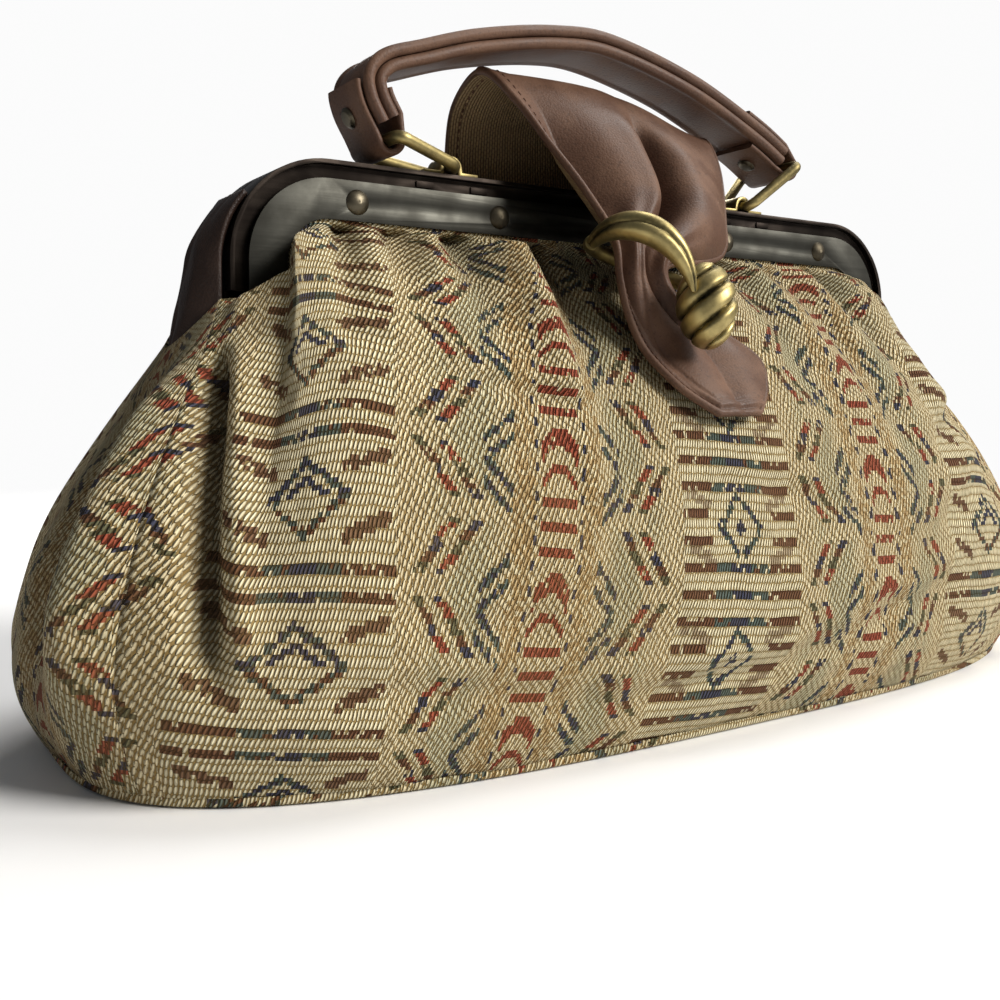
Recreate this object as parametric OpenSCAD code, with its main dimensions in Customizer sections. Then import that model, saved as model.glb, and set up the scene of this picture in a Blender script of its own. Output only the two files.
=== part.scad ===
// Carpet bag on a hinged metal frame, with a ring-mounted handle and a tongue drawn through a
// twisted ring. The bag stands on its base at z = 0, its front faces -Y and its length lies on X.

/* [Frame] */
// Width over the legs of the frame
frame_w = 256; // [236:1:280]
// Height of the frame's top above the floor
frame_top = 156; // [150:1:170]
// Outer radius of the frame's corners
corner_r = 28; // [24:1:32]
// Depth of the front half, from the parting line to its front edge
front_d = 12.6; // [11.6:0.1:14]
// Depth of the back half, from the parting line to its back edge
back_d = 9.4; // [8.6:0.1:12]
// Thickness of the bent frame sheet
sheet_t = 1.2; // [0.8:0.1:1.4]
// Height of the frame's bare rim above the face plate
rim_h = 5; // [4:0.1:6]
// Height of the face plate
plate_h = 10.7; // [9:0.1:12]
// Thickness of the face plate
plate_t = 1; // [0.8:0.1:1.4]
// How far the legs of the frame reach below its top
leg_h = 36; // [34:1:40]
// How far the hinge pins sit below the legs
hinge_drop = 12; // [10:1:14]
// Radius of the hinge pins
pin_r = 1.8; // [1.4:0.1:2.2]

/* [Rivets] */
// Spacing of the frame rivets
rivet_pitch = 46; // [40:1:48]
// Radius of a domed rivet head
rivet_head_r = 3.5; // [2.8:0.1:4]
// Height of a domed rivet head
rivet_head_h = 1.5; // [1:0.1:2]
// Radius of a rivet shank
rivet_r = 1.5; // [1:0.1:1.8]

/* [Cloth] */
// Half length of the base
base_l = 172; // [160:1:184]
// Half depth of the base
base_d = 73; // [66:1:80]
// Squareness of the base outline
base_n = 3; // [2.4:0.1:4]
// How far the cloth swells past its base
swell = 28; // [16:1:34]
// Wall of the lined cloth
wall = 3; // [2.4:0.1:3.4]
// Thickness of the floor of the bag
floor_t = 2.4; // [2:0.1:4]
// Thickness of the cloth clamped under the face plate
pinch_t = 1.2; // [1:0.1:1.6]
// Columns of facets along half of the front's straight run
front_cols = 14; // [8:1:20]
// Columns of facets along half of the back's straight run
back_cols = 8; // [6:1:14]
// Rows of facets from the frame to the floor
cloth_rows = 12; // [8:1:18]

/* [Hinge gores] */
// Thickness of the leather
gore_t = 1.8; // [1.2:0.1:2]
// How far a gore stands out at its lower edge
gore_out = 11.4; // [8:0.1:13]
// How far a gore reaches below the clamp line at its middle
gore_drop = 12; // [9:1:14]

/* [Handle] */
// Distance of the left saddle from the middle
left_saddle = 61; // [58:1:64]
// Distance of the right saddle from the middle
right_saddle = 56; // [54:1:60]
// Radius of the ring wire
wire_r = 1.75; // [1.5:0.05:2]
// Length of a handle ring between its bars
ring_l = 22.3; // [21:0.1:24]
// Lean of the left ring above the horizontal
left_lean = 12.5; // [10:0.5:16]
// Lean of the right ring above the horizontal
right_lean = 40.5; // [38:0.5:43]
// Width of the handle straps
strap_w = 22; // [20:0.5:25]
// Thickness of one handle strap
strap_t = 3.4; // [2.8:0.1:3.8]
// Thickness of the leather loop at each handle end
loop_t = 1.8; // [1.4:0.1:2]
// Clearance of a loop round its bar
loop_clear = 0.9; // [0.8:0.05:1.1]

/* [Tongue] */
// Thickness of the tongue's leather
tongue_t = 1.4; // [1:0.1:1.6]
// Thickness of the tongue's lining
lining_t = 0.8; // [0.5:0.1:1]
// Half width of the tongue where it leaves the back plate
tongue_half = 50; // [44:1:54]

/* [Twisted ring] */
// Radius of the hoop behind the tongue
twist_thin = 2.2; // [1.9:0.1:2.4]
// Largest radius of the leaf that crosses the front
leaf_r = 4.2; // [3.6:0.1:4.4]
// Largest radius of the coil
coil_r = 8.6; // [7.6:0.1:8.8]
// Depth of the grooves between the strands
twist_groove = 1.5; // [0.4:0.1:1.8]
// Lobes of the coil
coil_lobes = 3; // [2:1:4]

/* [Hidden] */
$fn = 48;

// Clearance between parts that only lie against each other
touch = 0.05;
// Running clearance between moving parts
run_clear = 0.3;
half_w = frame_w/2;
foot_z = frame_top - leg_h;
hinge_z = foot_z - hinge_drop;
function plate_back(d) = d - plate_t;
function lip_y(d) = d - plate_t - pinch_t;
lip_in = rim_h + plate_h - 0.7;
plate_in = rim_h + plate_h;
rivet_z = frame_top - rim_h - plate_h/2 - 0.3;
rivet_xs = [for (i = [-2:2]) i*rivet_pitch];
tab_t = 1.2;

// Colours of the finishes
tapestry = [0.66, 0.58, 0.40];
shaded_tapestry = [0.52, 0.45, 0.31];
brown_leather = [0.34, 0.23, 0.18];
dark_leather = [0.20, 0.14, 0.12];
ribbed_lining = [0.38, 0.29, 0.19];
dark_metal = [0.16, 0.14, 0.12];
plate_metal = [0.42, 0.43, 0.42];
old_brass = [0.50, 0.42, 0.22];

// Curves
function mix(a, b, t) = a + (b - a)*t;
function ease(t) = t <= 0 ? 0 : t >= 1 ? 1 : t*t*(3 - 2*t);
function bez(a, b, c, d, t) = a*pow(1 - t, 3) + 3*b*t*pow(1 - t, 2) + 3*c*t*t*(1 - t) + d*pow(t, 3);
function unit(v) = v/norm(v);
function total(v, i = 0) = i >= len(v) ? 0 : v[i] + total(v, i + 1);

// A smooth curve through hand-picked stations; q runs from 0 to 1
function through(p, q) =
  let (k = min(floor(q*(len(p) - 1)), len(p) - 2), t = q*(len(p) - 1) - k,
       a = p[max(k - 1, 0)], b = p[k], c = p[k + 1], d = p[min(k + 2, len(p) - 1)])
  0.5*(2*b + (c - a)*t + (2*a - 5*b + 4*c - d)*t*t + (3*b - a - 3*c + d)*t*t*t);

// A closed sheet between two grids of points that match row by row
module sheet(top, under, flip = false) {
  rows = len(top);
  cols = len(top[0]);
  half = rows*cols;
  points = concat([for (r = top) each r], [for (r = under) each r]);
  function tri(a, b, c) = flip ? [a, c, b] : [a, b, c];
  upper = [for (i = [0:rows - 2]) for (j = [0:cols - 2])
    let (a = i*cols + j) each [tri(a, a + 1, a + cols), tri(a + 1, a + cols + 1, a + cols)]];
  lower = [for (i = [0:rows - 2]) for (j = [0:cols - 2])
    let (a = half + i*cols + j) each [tri(a, a + cols, a + 1), tri(a + 1, a + cols, a + cols + 1)]];
  ends = [for (j = [0:cols - 2]) for (e = [0, 1])
    let (a = e*(rows - 1)*cols + j, b = a + 1, c = a + half, d = b + half)
    each e == 0 ? [tri(a, c, b), tri(b, c, d)] : [tri(a, b, c), tri(b, d, c)]];
  edges = [for (i = [0:rows - 2]) for (e = [0, 1])
    let (a = i*cols + e*(cols - 1), b = a + cols, c = a + half, d = b + half)
    each e == 0 ? [tri(a, b, c), tri(b, d, c)] : [tri(a, c, b), tri(b, c, d)]];
  polyhedron(points, concat(upper, lower, ends, edges));
}

// A closed tube through rings of points, with flat ends or joined end to end
module tube(rings, closed = false) {
  n = len(rings[0]);
  m = len(rings);
  sides = [for (i = [0:m - (closed ? 1 : 2)]) for (j = [0:n - 1])
    let (a = i*n + j, b = i*n + (j + 1)%n, c = ((i + 1)%m)*n + j, d = ((i + 1)%m)*n + (j + 1)%n)
    each [[a, b, c], [b, d, c]]];
  caps = closed ? [] : [[for (j = [n - 1:-1:0]) j], [for (j = [0:n - 1]) (m - 1)*n + j]];
  polyhedron([for (r = rings) each r], concat(sides, caps));
}

// Frame outline, drawn upright: a filled arch standing on a foot line
module arch(inset, foot) {
  w = half_w - inset;
  r = corner_r - inset;
  top = frame_top - inset;
  intersection() {
    translate([-w, foot]) square([2*w, top - foot]);
    union() {
      translate([-w, foot]) square([2*w, top - r - foot]);
      translate([-(w - r), foot]) square([2*(w - r), top - foot]);
      for (x = [-1, 1]) translate([x*(w - r), top - r]) circle(r, $fn = 96);
    }
  }
}

module arch_band(outer, inner, foot) {
  difference() {
    arch(outer, foot);
    arch(inner, foot - 1);
  }
}

// Stands an upright drawing on the front, from depth y0 back to depth y1
module upright(y0, y1) {
  translate([0, -y1, 0]) rotate([90, 0, 0]) linear_extrude(y0 - y1) children();
}

module on_rivets(y0, y1, r) {
  for (x = rivet_xs) translate([x, -y1, rivet_z]) rotate([90, 0, 0]) cylinder(y0 - y1, r, r);
}

// One bent half of the frame: flange round the arch, and the lip that the plate is riveted to
module channel_half(d) {
  upright(d, run_clear) arch_band(0, sheet_t, foot_z);
  difference() {
    upright(lip_y(d), lip_y(d) - sheet_t) arch_band(sheet_t/2, lip_in, foot_z);
    on_rivets(d, 0, rivet_r + touch);
  }
}

// One leg below the arch: a strap down to its hinge ear
leg_d = 7.6;
ear_r = 5.5;
pin_clear = 0.08;
module hinge_leg(x0, x1, top) {
  for (s = [-1, 1]) mirror([s < 0 ? 1 : 0, 0, 0]) difference() {
    union() {
      translate([x0, -leg_d, hinge_z]) cube([x1 - x0, leg_d - run_clear, top - hinge_z]);
      translate([x0, 0, hinge_z]) rotate([0, 90, 0]) cylinder(x1 - x0, ear_r, ear_r);
    }
    translate([x0 - 1, 0, hinge_z]) rotate([0, 90, 0])
      cylinder(x1 - x0 + 2, pin_r + pin_clear, pin_r + pin_clear);
  }
}

ear_gap = 0.3;
back_ear_in = 2.8;
joggle_h = 3.5;

staple_w = 5.5;
staple_h = 1.8;
staple_t = 0.5;
saddle_foot = 9;

module front_channel() {
  color(dark_metal) {
    channel_half(front_d);
    hinge_leg(half_w - sheet_t, half_w, foot_z + sheet_t);
    for (x = [-left_saddle, right_saddle]) for (d = [-saddle_foot, saddle_foot])
      translate([x + d - staple_w/2, -lip_y(front_d) - staple_t, frame_top - rim_h/2 - staple_h])
        cube([staple_w, staple_t + sheet_t/2, staple_h]);
  }
}

module back_channel() {
  color(dark_metal) mirror([0, 1, 0]) {
    channel_half(back_d);
    hinge_leg(half_w - back_ear_in, half_w - sheet_t - ear_gap, foot_z + joggle_h);
    for (s = [-1, 1]) mirror([s < 0 ? 1 : 0, 0, 0])
      translate([half_w - back_ear_in, -leg_d, foot_z])
        cube([back_ear_in - sheet_t/2, leg_d - run_clear, joggle_h]);
  }
}

module plate_half(d) {
  difference() {
    upright(d, plate_back(d)) arch_band(rim_h, plate_in, foot_z);
    on_rivets(d + 1, 0, rivet_r + touch);
  }
}

module front_face_plate() {
  color(plate_metal) plate_half(front_d);
}

module back_face_plate() {
  color(plate_metal) mirror([0, 1, 0]) plate_half(back_d);
}

// A domed rivet; what it holds on top of the plate sets how far out its head sits
module rivet(d, seat) {
  dome_r = (rivet_head_r*rivet_head_r + rivet_head_h*rivet_head_h)/(2*rivet_head_h);
  tail_h = 0.6;
  tail_r = rivet_r + 0.8;
  translate([0, 0, lip_y(d) - sheet_t - tail_h]) {
    cylinder(seat - lip_y(d) + sheet_t + tail_h, rivet_r, rivet_r);
    cylinder(tail_h, tail_r, tail_r);
  }
  intersection() {
    translate([0, 0, seat + rivet_head_h - dome_r]) sphere(dome_r);
    translate([0, 0, seat]) cylinder(rivet_head_h + 1, rivet_head_r, rivet_head_r);
  }
}

module front_rivets() {
  color(plate_metal) for (x = rivet_xs) translate([x, 0, rivet_z]) rotate([90, 0, 0])
    rivet(front_d, x == 0 ? front_d + tab_t + 2*touch : front_d);
}

tongue_stack = tongue_t + lining_t + 3*touch;
module back_rivets() {
  color(plate_metal) for (x = rivet_xs) translate([x, 0, rivet_z]) rotate([-90, 0, 0])
    rivet(back_d, abs(x) < tongue_half ? back_d + tongue_stack : back_d);
}

module hinge_pin() {
  head_t = 0.9;
  head_r = pin_r + 1.2;
  inner = half_w - back_ear_in;
  translate([inner - head_t, 0, hinge_z]) rotate([0, 90, 0]) {
    cylinder(half_w - inner + 2*head_t, pin_r, pin_r);
    cylinder(head_t, head_r, head_r);
    translate([0, 0, half_w - inner + head_t]) cylinder(head_t, head_r, head_r);
  }
}

module left_hinge_pin() {
  color(dark_metal) mirror([1, 0, 0]) hinge_pin();
}

module right_hinge_pin() {
  color(dark_metal) hinge_pin();
}

// Base outline: half lengths and an exponent; the outward direction follows from it
function base_y(x) = base_d*pow(max(0, 1 - pow(abs(x)/base_l, base_n)), 1/base_n);
function base_x(y) = base_l*pow(max(0, 1 - pow(abs(y)/base_d, base_n)), 1/base_n);
function base_out(x, y) = let (g = [sign(x)*pow(abs(x)/base_l, base_n - 1)/base_l,
                                    sign(y)*pow(abs(y)/base_d, base_n - 1)/base_d, 0]) unit(g);

// Where the front and back cloth meet the end gussets
seam_share = 0.94;
seam_x = base_l*seam_share;
seam_y = base_y(seam_x);
seam_top = [half_w + 3.4, 1.3, foot_z - 2.5];

// Path of the clamped edge across one half of the frame: straight, round the corner, down the leg
straight_share = 0.68;
corner_share = 0.81;
leg_share = 0.88;
function clamp_pt(a, inset) =
  let (run = half_w - corner_r, r = corner_r - inset, top = frame_top - inset)
  a <= straight_share ? [run*a/straight_share, top]
  : a <= corner_share ? let (g = 90*(a - straight_share)/(corner_share - straight_share))
      [run + r*sin(g), top - r + r*cos(g)]
  : [run + r, mix(top - r, foot_z - 0.6, (min(a, leg_share) - corner_share)/(leg_share - corner_share))];

clamp_in = rim_h + plate_h*0.75;
function cloth_top(s, d) =
  let (a = abs(s), p = clamp_pt(a, plate_in + 0.7), k = sign(s),
       q = [k*p[0], -plate_back(d) + touch, p[1]],
       e = [k*seam_top[0], -d - seam_top[1], seam_top[2]])
  a <= leg_share ? q : mix(q, e, (a - leg_share)/(1 - leg_share));
function cloth_clamp(s, d) =
  let (a = abs(s), p = clamp_pt(a, clamp_in))
  a <= leg_share ? [sign(s)*p[0], -plate_back(d) + touch, p[1]] : cloth_top(s, d) + [0, 0, 0.4];

// Gathers: place at the frame, place lower down, half width, height in mm, reach down the cloth
front_folds = [[-0.66, -0.70, 0.065, 5.0, 0.55], [-0.45, -0.47, 0.06, 3.0, 0.40],
               [-0.28, -0.265, 0.06, 7.0, 0.62], [-0.01, -0.01, 0.16, -9.0, 0.50],
               [0.22, 0.26, 0.06, 3.0, 0.40], [0.43, 0.60, 0.06, 4.0, 0.55],
               [0.64, 0.80, 0.06, 3.5, 0.45]];
back_folds = [for (x = [-0.6:0.3:0.6]) [x, 1.04*x, 0.08, 3.5, 0.5]];
function fold_rise(q) = q >= 1 ? 0 : ease(q*5)*(1 - q);
function fold_h(folds, s, t) = total([for (f = folds)
  f[3]*exp(-pow((s - mix(f[0], f[1], t))/f[2], 2))*fold_rise(t/f[4])]);
function slump_h(s, t) = 1.6*sin(400*s + 60)*exp(-pow((t - 0.8)/0.12, 2));

// One point of the front cloth: s runs along the frame, t from the frame to the floor
function panel_out(s) = base_out(seam_x*s, -base_y(seam_x*s));
function panel_pt(s, t, folds, d) =
  let (a = pow(abs(s), 3), top = cloth_top(s, d), x = seam_x*s,
       foot = [x, -base_y(x), floor_t], out = panel_out(s),
       leave = [sign(s)*8*a, -(26 - 16*a), -(18 + 4*a)], land = out*swell + [0, 0, 46])
  bez(top, top + leave, foot + land, foot, t) + out*(fold_h(folds, s, t) + slump_h(s, t)*ease(t*3));
function panel_wall(s, t) =
  let (k = ease(t/0.15))
  mix([0, -(pinch_t - 2*touch), 0], panel_out(s)*wall, k);

// Columns fall on the ends of the straight run, the corner and the leg
corner_cols = 4;
function half_cols(cols) = concat([for (i = [1:cols]) straight_share*i/cols],
  [for (i = [1:corner_cols]) mix(straight_share, corner_share, i/corner_cols)],
  [leg_share, mix(leg_share, 1, 0.5), 1]);

module cloth_panel(folds, cols, d) {
  right = half_cols(cols);
  ss = concat([for (i = [len(right) - 1:-1:0]) -right[i]], [0], right);
  ts = [for (i = [0:cloth_rows]) i/cloth_rows];
  outer = concat([[for (s = ss) cloth_clamp(s, d)]],
                 [for (t = ts) [for (s = ss) panel_pt(s, t, folds, d)]]);
  inner = concat([[for (s = ss) cloth_clamp(s, d) - panel_wall(s, 0)]],
                 [for (t = ts) [for (s = ss) panel_pt(s, t, folds, d) - panel_wall(s, t)]]);
  sheet(outer, inner);
}

module front_panel() {
  color(tapestry) cloth_panel(front_folds, front_cols, front_d);
}

module back_panel() {
  color(shaded_tapestry) mirror([0, 1, 0]) cloth_panel(back_folds, back_cols, back_d);
}

// End gusset: w runs from the front seam to the back seam, t from the gore to the floor
seam_gap = 0.15;
function gusset_pt(w, t) =
  let (m = 1 - w*w, y = seam_y*w,
       top = [seam_top[0] + (gore_out - 1.3)*m, w*(seam_top[1] + (w < 0 ? front_d : back_d)),
              seam_top[2] - gore_drop*m],
       foot = [base_x(y), y, floor_t], out = base_out(foot[0], y + 0.001*w),
       leave = [8 + 6*m, 10*w, -(22 + 4*m)], land = out*swell + [0, 0, 46])
  bez(top, top + leave, foot + land, foot, t) + out*slump_h(1, t)*ease(t*3)*w*w;
function gusset_wall(w, t) =
  let (y = seam_y*w, out = base_out(base_x(y), y + 0.001*w))
  mix(mix([0, (pinch_t - 2*touch)*sign(w), 0], out*wall, 1 - abs(w)), out*wall, ease(t/0.15));

module gusset() {
  cols = 8;
  ws = [for (i = [0:cols]) (-1 + 2*i/cols)*(1 - seam_gap/seam_y)];
  ts = [for (i = [0:cloth_rows]) i/cloth_rows];
  sheet([for (t = ts) [for (w = ws) gusset_pt(w, t)]],
        [for (t = ts) [for (w = ws) gusset_pt(w, t) - gusset_wall(w, t)]]);
}

module left_gusset() {
  color(shaded_tapestry) mirror([1, 0, 0]) gusset();
}

module right_gusset() {
  color(shaded_tapestry) gusset();
}

module base_panel() {
  n = 72;
  color(shaded_tapestry) linear_extrude(floor_t) polygon([for (i = [0:n - 1])
    let (g = 360*i/n, c = cos(g), s = sin(g))
    [sign(c)*base_l*pow(abs(c), 2/base_n), sign(s)*base_d*pow(abs(s), 2/base_n)]]);
}

// Leather gore outside each hinge: u runs from front to back, v from the frame's corner down
gore_top = frame_top - 10;
gore_inset = 1.4;
function frame_side(z) =
  let (d = z - (frame_top - corner_r))
  half_w - corner_r + (d <= 0 ? corner_r : sqrt(corner_r*corner_r - d*d));
function gore_pt(u, v, lift) =
  let (m = 1 - u*u, low = seam_top[2] - gore_drop*m + run_clear, z = mix(gore_top, low, v))
  [frame_side(z) + run_clear + gore_t*lift + gore_out*m*pow(v, 0.9),
   u*((u < 0 ? front_d : back_d) - gore_inset), z];

module gore() {
  n = 6;
  us = [for (i = [0:n]) -1 + 2*i/n];
  vs = [for (i = [0:n]) i/n];
  sheet([for (v = vs) [for (u = us) gore_pt(u, v, 1)]], [for (v = vs) [for (u = us) gore_pt(u, v, 0)]]);
}

module left_hinge_gore() {
  color(dark_leather) mirror([1, 0, 0]) gore();
}

module right_hinge_gore() {
  color(dark_leather) gore();
}

// Saddle: a strap bent over the lower bar of a handle ring, with a foot on each side
saddle_w = 8;
saddle_t = 1.3;
saddle_in = wire_r + 0.6;
handle_y = -(front_d + run_clear)/2;
bar_z = frame_top + wire_r + 0.35;
module saddle() {
  r = saddle_in + saddle_t;
  translate([0, handle_y + saddle_w/2, 0]) rotate([90, 0, 0]) linear_extrude(saddle_w) difference() {
    union() {
      translate([0, bar_z]) circle(r);
      translate([-r, frame_top]) square([2*r, bar_z - frame_top]);
      translate([-saddle_foot, frame_top]) square([2*saddle_foot, saddle_t]);
    }
    translate([0, bar_z]) circle(saddle_in);
    translate([-saddle_in, frame_top - 1]) square([2*saddle_in, bar_z - frame_top + 1]);
    translate([-r, frame_top - 2*r]) square([2*r, 2*r]);
  }
}

module left_saddle() {
  color(old_brass) translate([-left_saddle, 0, 0]) saddle();
}

module right_saddle() {
  color(old_brass) translate([right_saddle, 0, 0]) saddle();
}

// Handle ring: a wire trapezoid, narrow through the saddle and as wide as the strap above
bar_half_low = saddle_w/2 + wire_r + 1.6;
bar_half_top = strap_w/2 + wire_r + 0.6;
ring_bend = 3.2;
module handle_ring(x, lean) {
  up = [cos(lean), 0, sin(lean)];
  face = [-sin(lean), 0, cos(lean)];
  hub = [x, handle_y, bar_z];
  corners = [hub + [0, -bar_half_low, 0], hub + [0, bar_half_low, 0],
             hub + up*ring_l + [0, bar_half_top, 0], hub + up*ring_l + [0, -bar_half_top, 0]];
  path = [for (i = [0:3])
    let (c = corners[i], a = c + unit(corners[(i + 3)%4] - c)*ring_bend,
         b = c + unit(corners[(i + 1)%4] - c)*ring_bend)
    for (t = [0:0.25:1]) mix(mix(a, c, t), mix(c, b, t), t)];
  m = len(path);
  function across(i) = cross(face, unit(path[(i + 1)%m] - path[(i + m - 1)%m]));
  sides = 12;
  tube([for (i = [0:m - 1]) [for (k = [0:sides - 1])
    path[i] + wire_r*(cos(360*k/sides)*face + sin(360*k/sides)*across(i))]], true);
}

module left_handle_ring() {
  color(old_brass) mirror([1, 0, 0]) handle_ring(left_saddle, left_lean);
}

module right_handle_ring() {
  color(old_brass) handle_ring(right_saddle, right_lean);
}

// Handle: two straps, back to back along one kinked arch between the upper ring bars
left_bar = [-left_saddle - ring_l*cos(left_lean), bar_z + ring_l*sin(left_lean)];
right_bar = [right_saddle + ring_l*cos(right_lean), bar_z + ring_l*sin(right_lean)];
arch_mid = [0, frame_top];
handle_route = [left_bar + [-1.2, 4.8], left_bar + [-4.4, 10.6], left_bar + [-5, 15.8],
                left_bar + [-0.8, 20.4], left_bar + [9.5, 24.2], arch_mid + [-54, 37.5],
                arch_mid + [-27.5, 43], arch_mid + [-6, 43.8], arch_mid + [26.5, 37.2],
                right_bar + [-17, 9.6], right_bar + [-4, 3.2]];
function route_pt(q) = through(handle_route, q);
function route_side(q) =
  let (d = unit(route_pt(min(q + 0.004, 1)) - route_pt(max(q - 0.004, 0)))) [-d[1], d[0]];
function beside(q, off) = route_pt(q) + route_side(q)*off;
function strap_ring(q, mid) =
  let (hw = strap_w/2, ht = strap_t/2, c = 0.9)
  [for (k = [[-hw, -ht + c], [-hw, ht - c], [-hw + c, ht], [0, ht], [hw - c, ht], [hw, ht - c],
             [hw, -ht + c], [hw - c, -ht], [0, -ht], [-hw + c, -ht]])
    let (e = beside(q, mid + k[1])) [e[0], handle_y + k[0], e[1]]];

// Where the rivet sits and where each leg of a loop ends, as shares of the handle's length
left_rivet_q = 0.07;
right_rivet_q = 0.945;
left_legs = [0.17, 0.13];
right_legs = [0.88, 0.9];

module cross_rivet(q, r, reach, head) {
  p = route_pt(q);
  n = route_side(q);
  translate([p[0], handle_y, p[1]]) rotate([0, atan2(n[0], n[1]), 0]) {
    translate([0, 0, -reach]) cylinder(2*reach, r, r);
    if (head) for (s = [0, 1]) mirror([0, 0, s]) translate([0, 0, reach])
      cylinder(0.9, rivet_head_r - 0.4, rivet_head_r - 1.4);
  }
}

module handle_bores() {
  for (q = [left_rivet_q, right_rivet_q]) cross_rivet(q, rivet_r + touch, 3*strap_t, false);
}

module strap(mid) {
  n = 40;
  difference() {
    tube([for (i = [0:n]) strap_ring(i/n, mid)]);
    handle_bores();
  }
}

module handle_outer_strap() {
  color(brown_leather) strap(strap_t/2 + touch);
}

module handle_inner_strap() {
  color(brown_leather) strap(-strap_t/2 - touch);
}

// Loop: a leather strip round the upper ring bar, with a leg on each face of the straps
loop_in = wire_r + loop_clear;
loop_off = strap_t + 7*touch + loop_t/2;
module end_loop(bar, end, legs) {
  hw = strap_w/2 - 1.8;
  up = unit(route_pt(end) - bar);
  n = [-up[1], up[0]]*(end < 0.5 ? -1 : 1);
  side_n = route_side(end);
  k = side_n*n > 0 ? 1 : -1;
  r = loop_in + loop_t/2;
  path = concat([for (i = [0:8]) beside(mix(legs[0], end, i/8), loop_off)],
                [for (i = [0:10]) let (g = 18*i) bar + k*n*r*cos(g) - up*r*sin(g)],
                [for (i = [0:8]) beside(mix(end, legs[1], i/8), -loop_off)]);
  m = len(path);
  function side(i) = let (d = unit(path[min(i + 1, m - 1)] - path[max(i - 1, 0)])) [-d[1], d[0]]*loop_t/2;
  function row(f) = [for (i = [0:m - 1]) let (e = path[i] + side(i)*f) [e[0], handle_y, e[1]]];
  difference() {
    sheet([for (y = [-hw, hw]) [for (p = row(1)) p + [0, y, 0]]],
          [for (y = [-hw, hw]) [for (p = row(-1)) p + [0, y, 0]]], true);
    handle_bores();
  }
}

module left_handle_loop() {
  color(brown_leather) end_loop(left_bar, 0, left_legs);
}

module right_handle_loop() {
  color(brown_leather) end_loop(right_bar, 1, right_legs);
}

// One rivet through each handle end, across both straps and both legs of the loop
module handle_rivets() {
  color(old_brass) for (q = [left_rivet_q, right_rivet_q])
    cross_rivet(q, rivet_r, strap_t + loop_t + 14*touch, true);
}

// Tongue: stations from its root on the back plate, over the top, through the ring to its tail.
// Each station gives depth y, height z, middle x, half width, fall to the right and fold height.
root_y = back_d + lining_t + 2*touch;
face = -front_d;
rim = frame_top;
tongue_route = [[root_y, rim - 14, 0, tongue_half, 0, 0], [root_y, rim - 4, 0, tongue_half, 0, 0],
                [root_y + 0.6, rim + 12, -0.5, 49.5, 1.5, 0], [root_y - 2.2, rim + 25.6, -1.5, 47.5, 5, 0.4],
                [face + 6.2, rim + 31.8, -4, 44.5, 9, 1.2], [face - 4.4, rim + 22, -2.5, 41, 10, 3.2],
                [face - 12.6, rim + 7, -1, 36.5, 10, 4.6], [face - 21, rim - 7.5, -3, 28, 6, 4.6],
                [face - 28.6, rim - 20, -15, 11, 0, 2.8], [face - 30.4, rim - 30.5, -15.5, 10.5, 0, 2],
                [face - 32.8, rim - 40.5, -9, 15.5, 0, 1.6], [face - 37.4, rim - 51, 0.5, 22.5, 0, 1.2],
                [face - 45.2, rim - 60.5, 1, 17.5, 0, 0.8], [face - 51.4, rim - 68, 1.5, 8, 0, 0]];
function tongue_at(v) = through(tongue_route, v);
function tongue_n(v) =
  let (a = tongue_at(max(v - 0.01, 0)), b = tongue_at(min(v + 0.01, 1)), d = unit([b[0] - a[0], b[1] - a[1]]))
  [0, d[1], -d[0]];
// At the ring the whole width leans with it: the right side runs ahead of the left
neck_v = 8/(len(tongue_route) - 1);
function leaned(u, v) = min(max(v + 0.03*u*exp(-pow((v - neck_v)/0.1, 2)), 0), 1);
function tongue_pt(u, v, lift) =
  let (w = leaned(u, v), k = tongue_at(v), p = tongue_at(w), fold = k[5]*(2*abs(cos(200*(u + 0.35))) - 1))
  [k[2] + k[3]*u, p[0], p[1] - k[4]*ease((u + 0.1)/1.1)] + tongue_n(w)*(fold + lift);
module tongue_layer(low, high) {
  cols = 16;
  rows = 24;
  us = [for (i = [0:cols]) -1 + 2*i/cols];
  vs = [for (i = [0:rows]) i/rows];
  sheet([for (v = vs) [for (u = us) tongue_pt(u, v, high)]],
        [for (v = vs) [for (u = us) tongue_pt(u, v, low)]]);
}

module root_holes() {
  for (x = rivet_xs) translate([x, back_d - 1, rivet_z]) rotate([-90, 0, 0])
    cylinder(tongue_stack + 2, rivet_r + touch, rivet_r + touch);
}

module tongue_leather() {
  color(brown_leather) difference() {
    tongue_layer(touch, tongue_t);
    root_holes();
  }
}

module tongue_lining() {
  color(ribbed_lining) difference() {
    tongue_layer(-lining_t, -touch);
    root_holes();
  }
}

// Twisted ring: a hoop runs behind the tongue's neck from the left end to the coil, a leaf of two
// strands, pointed at both ends, crosses the front, and the coil is an egg with winding lobes.
left_end = [-29.4, face - 23.2, rim - 19.3];
leaf_tip = [-14.6, face - 49.4, rim - 34.5];
coil_top = [-5.4, face - 43.8, rim - 27];
coil_low = [-4, face - 45, rim - 49.2];
coil_heart = [-1, face - 41.4, rim - 35];
function hoop_pt(q) = bez(left_end, [-26, face - 10, rim - 20], [18, face - 14, rim - 27], coil_heart, q);
function leaf_pt(q) = bez(left_end, [-33, face - 42, rim - 12], [-17, face - 48, rim - 18], leaf_tip, q);
function coil_pt(q) = mix(coil_top, coil_low, q) - [1.8, 1.6, 0]*sin(180*q);
function strand_pt(kind, q) = kind == "hoop" ? hoop_pt(q) : kind == "leaf" ? leaf_pt(q) : coil_pt(q);
function strand_r(kind, q) =
  kind == "hoop" ? twist_thin : kind == "leaf" ? leaf_r*pow(sin(20 + 153*q), 0.8) :
  coil_r*sqrt(1 - pow((q - 0.48)/0.54, 2));
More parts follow.
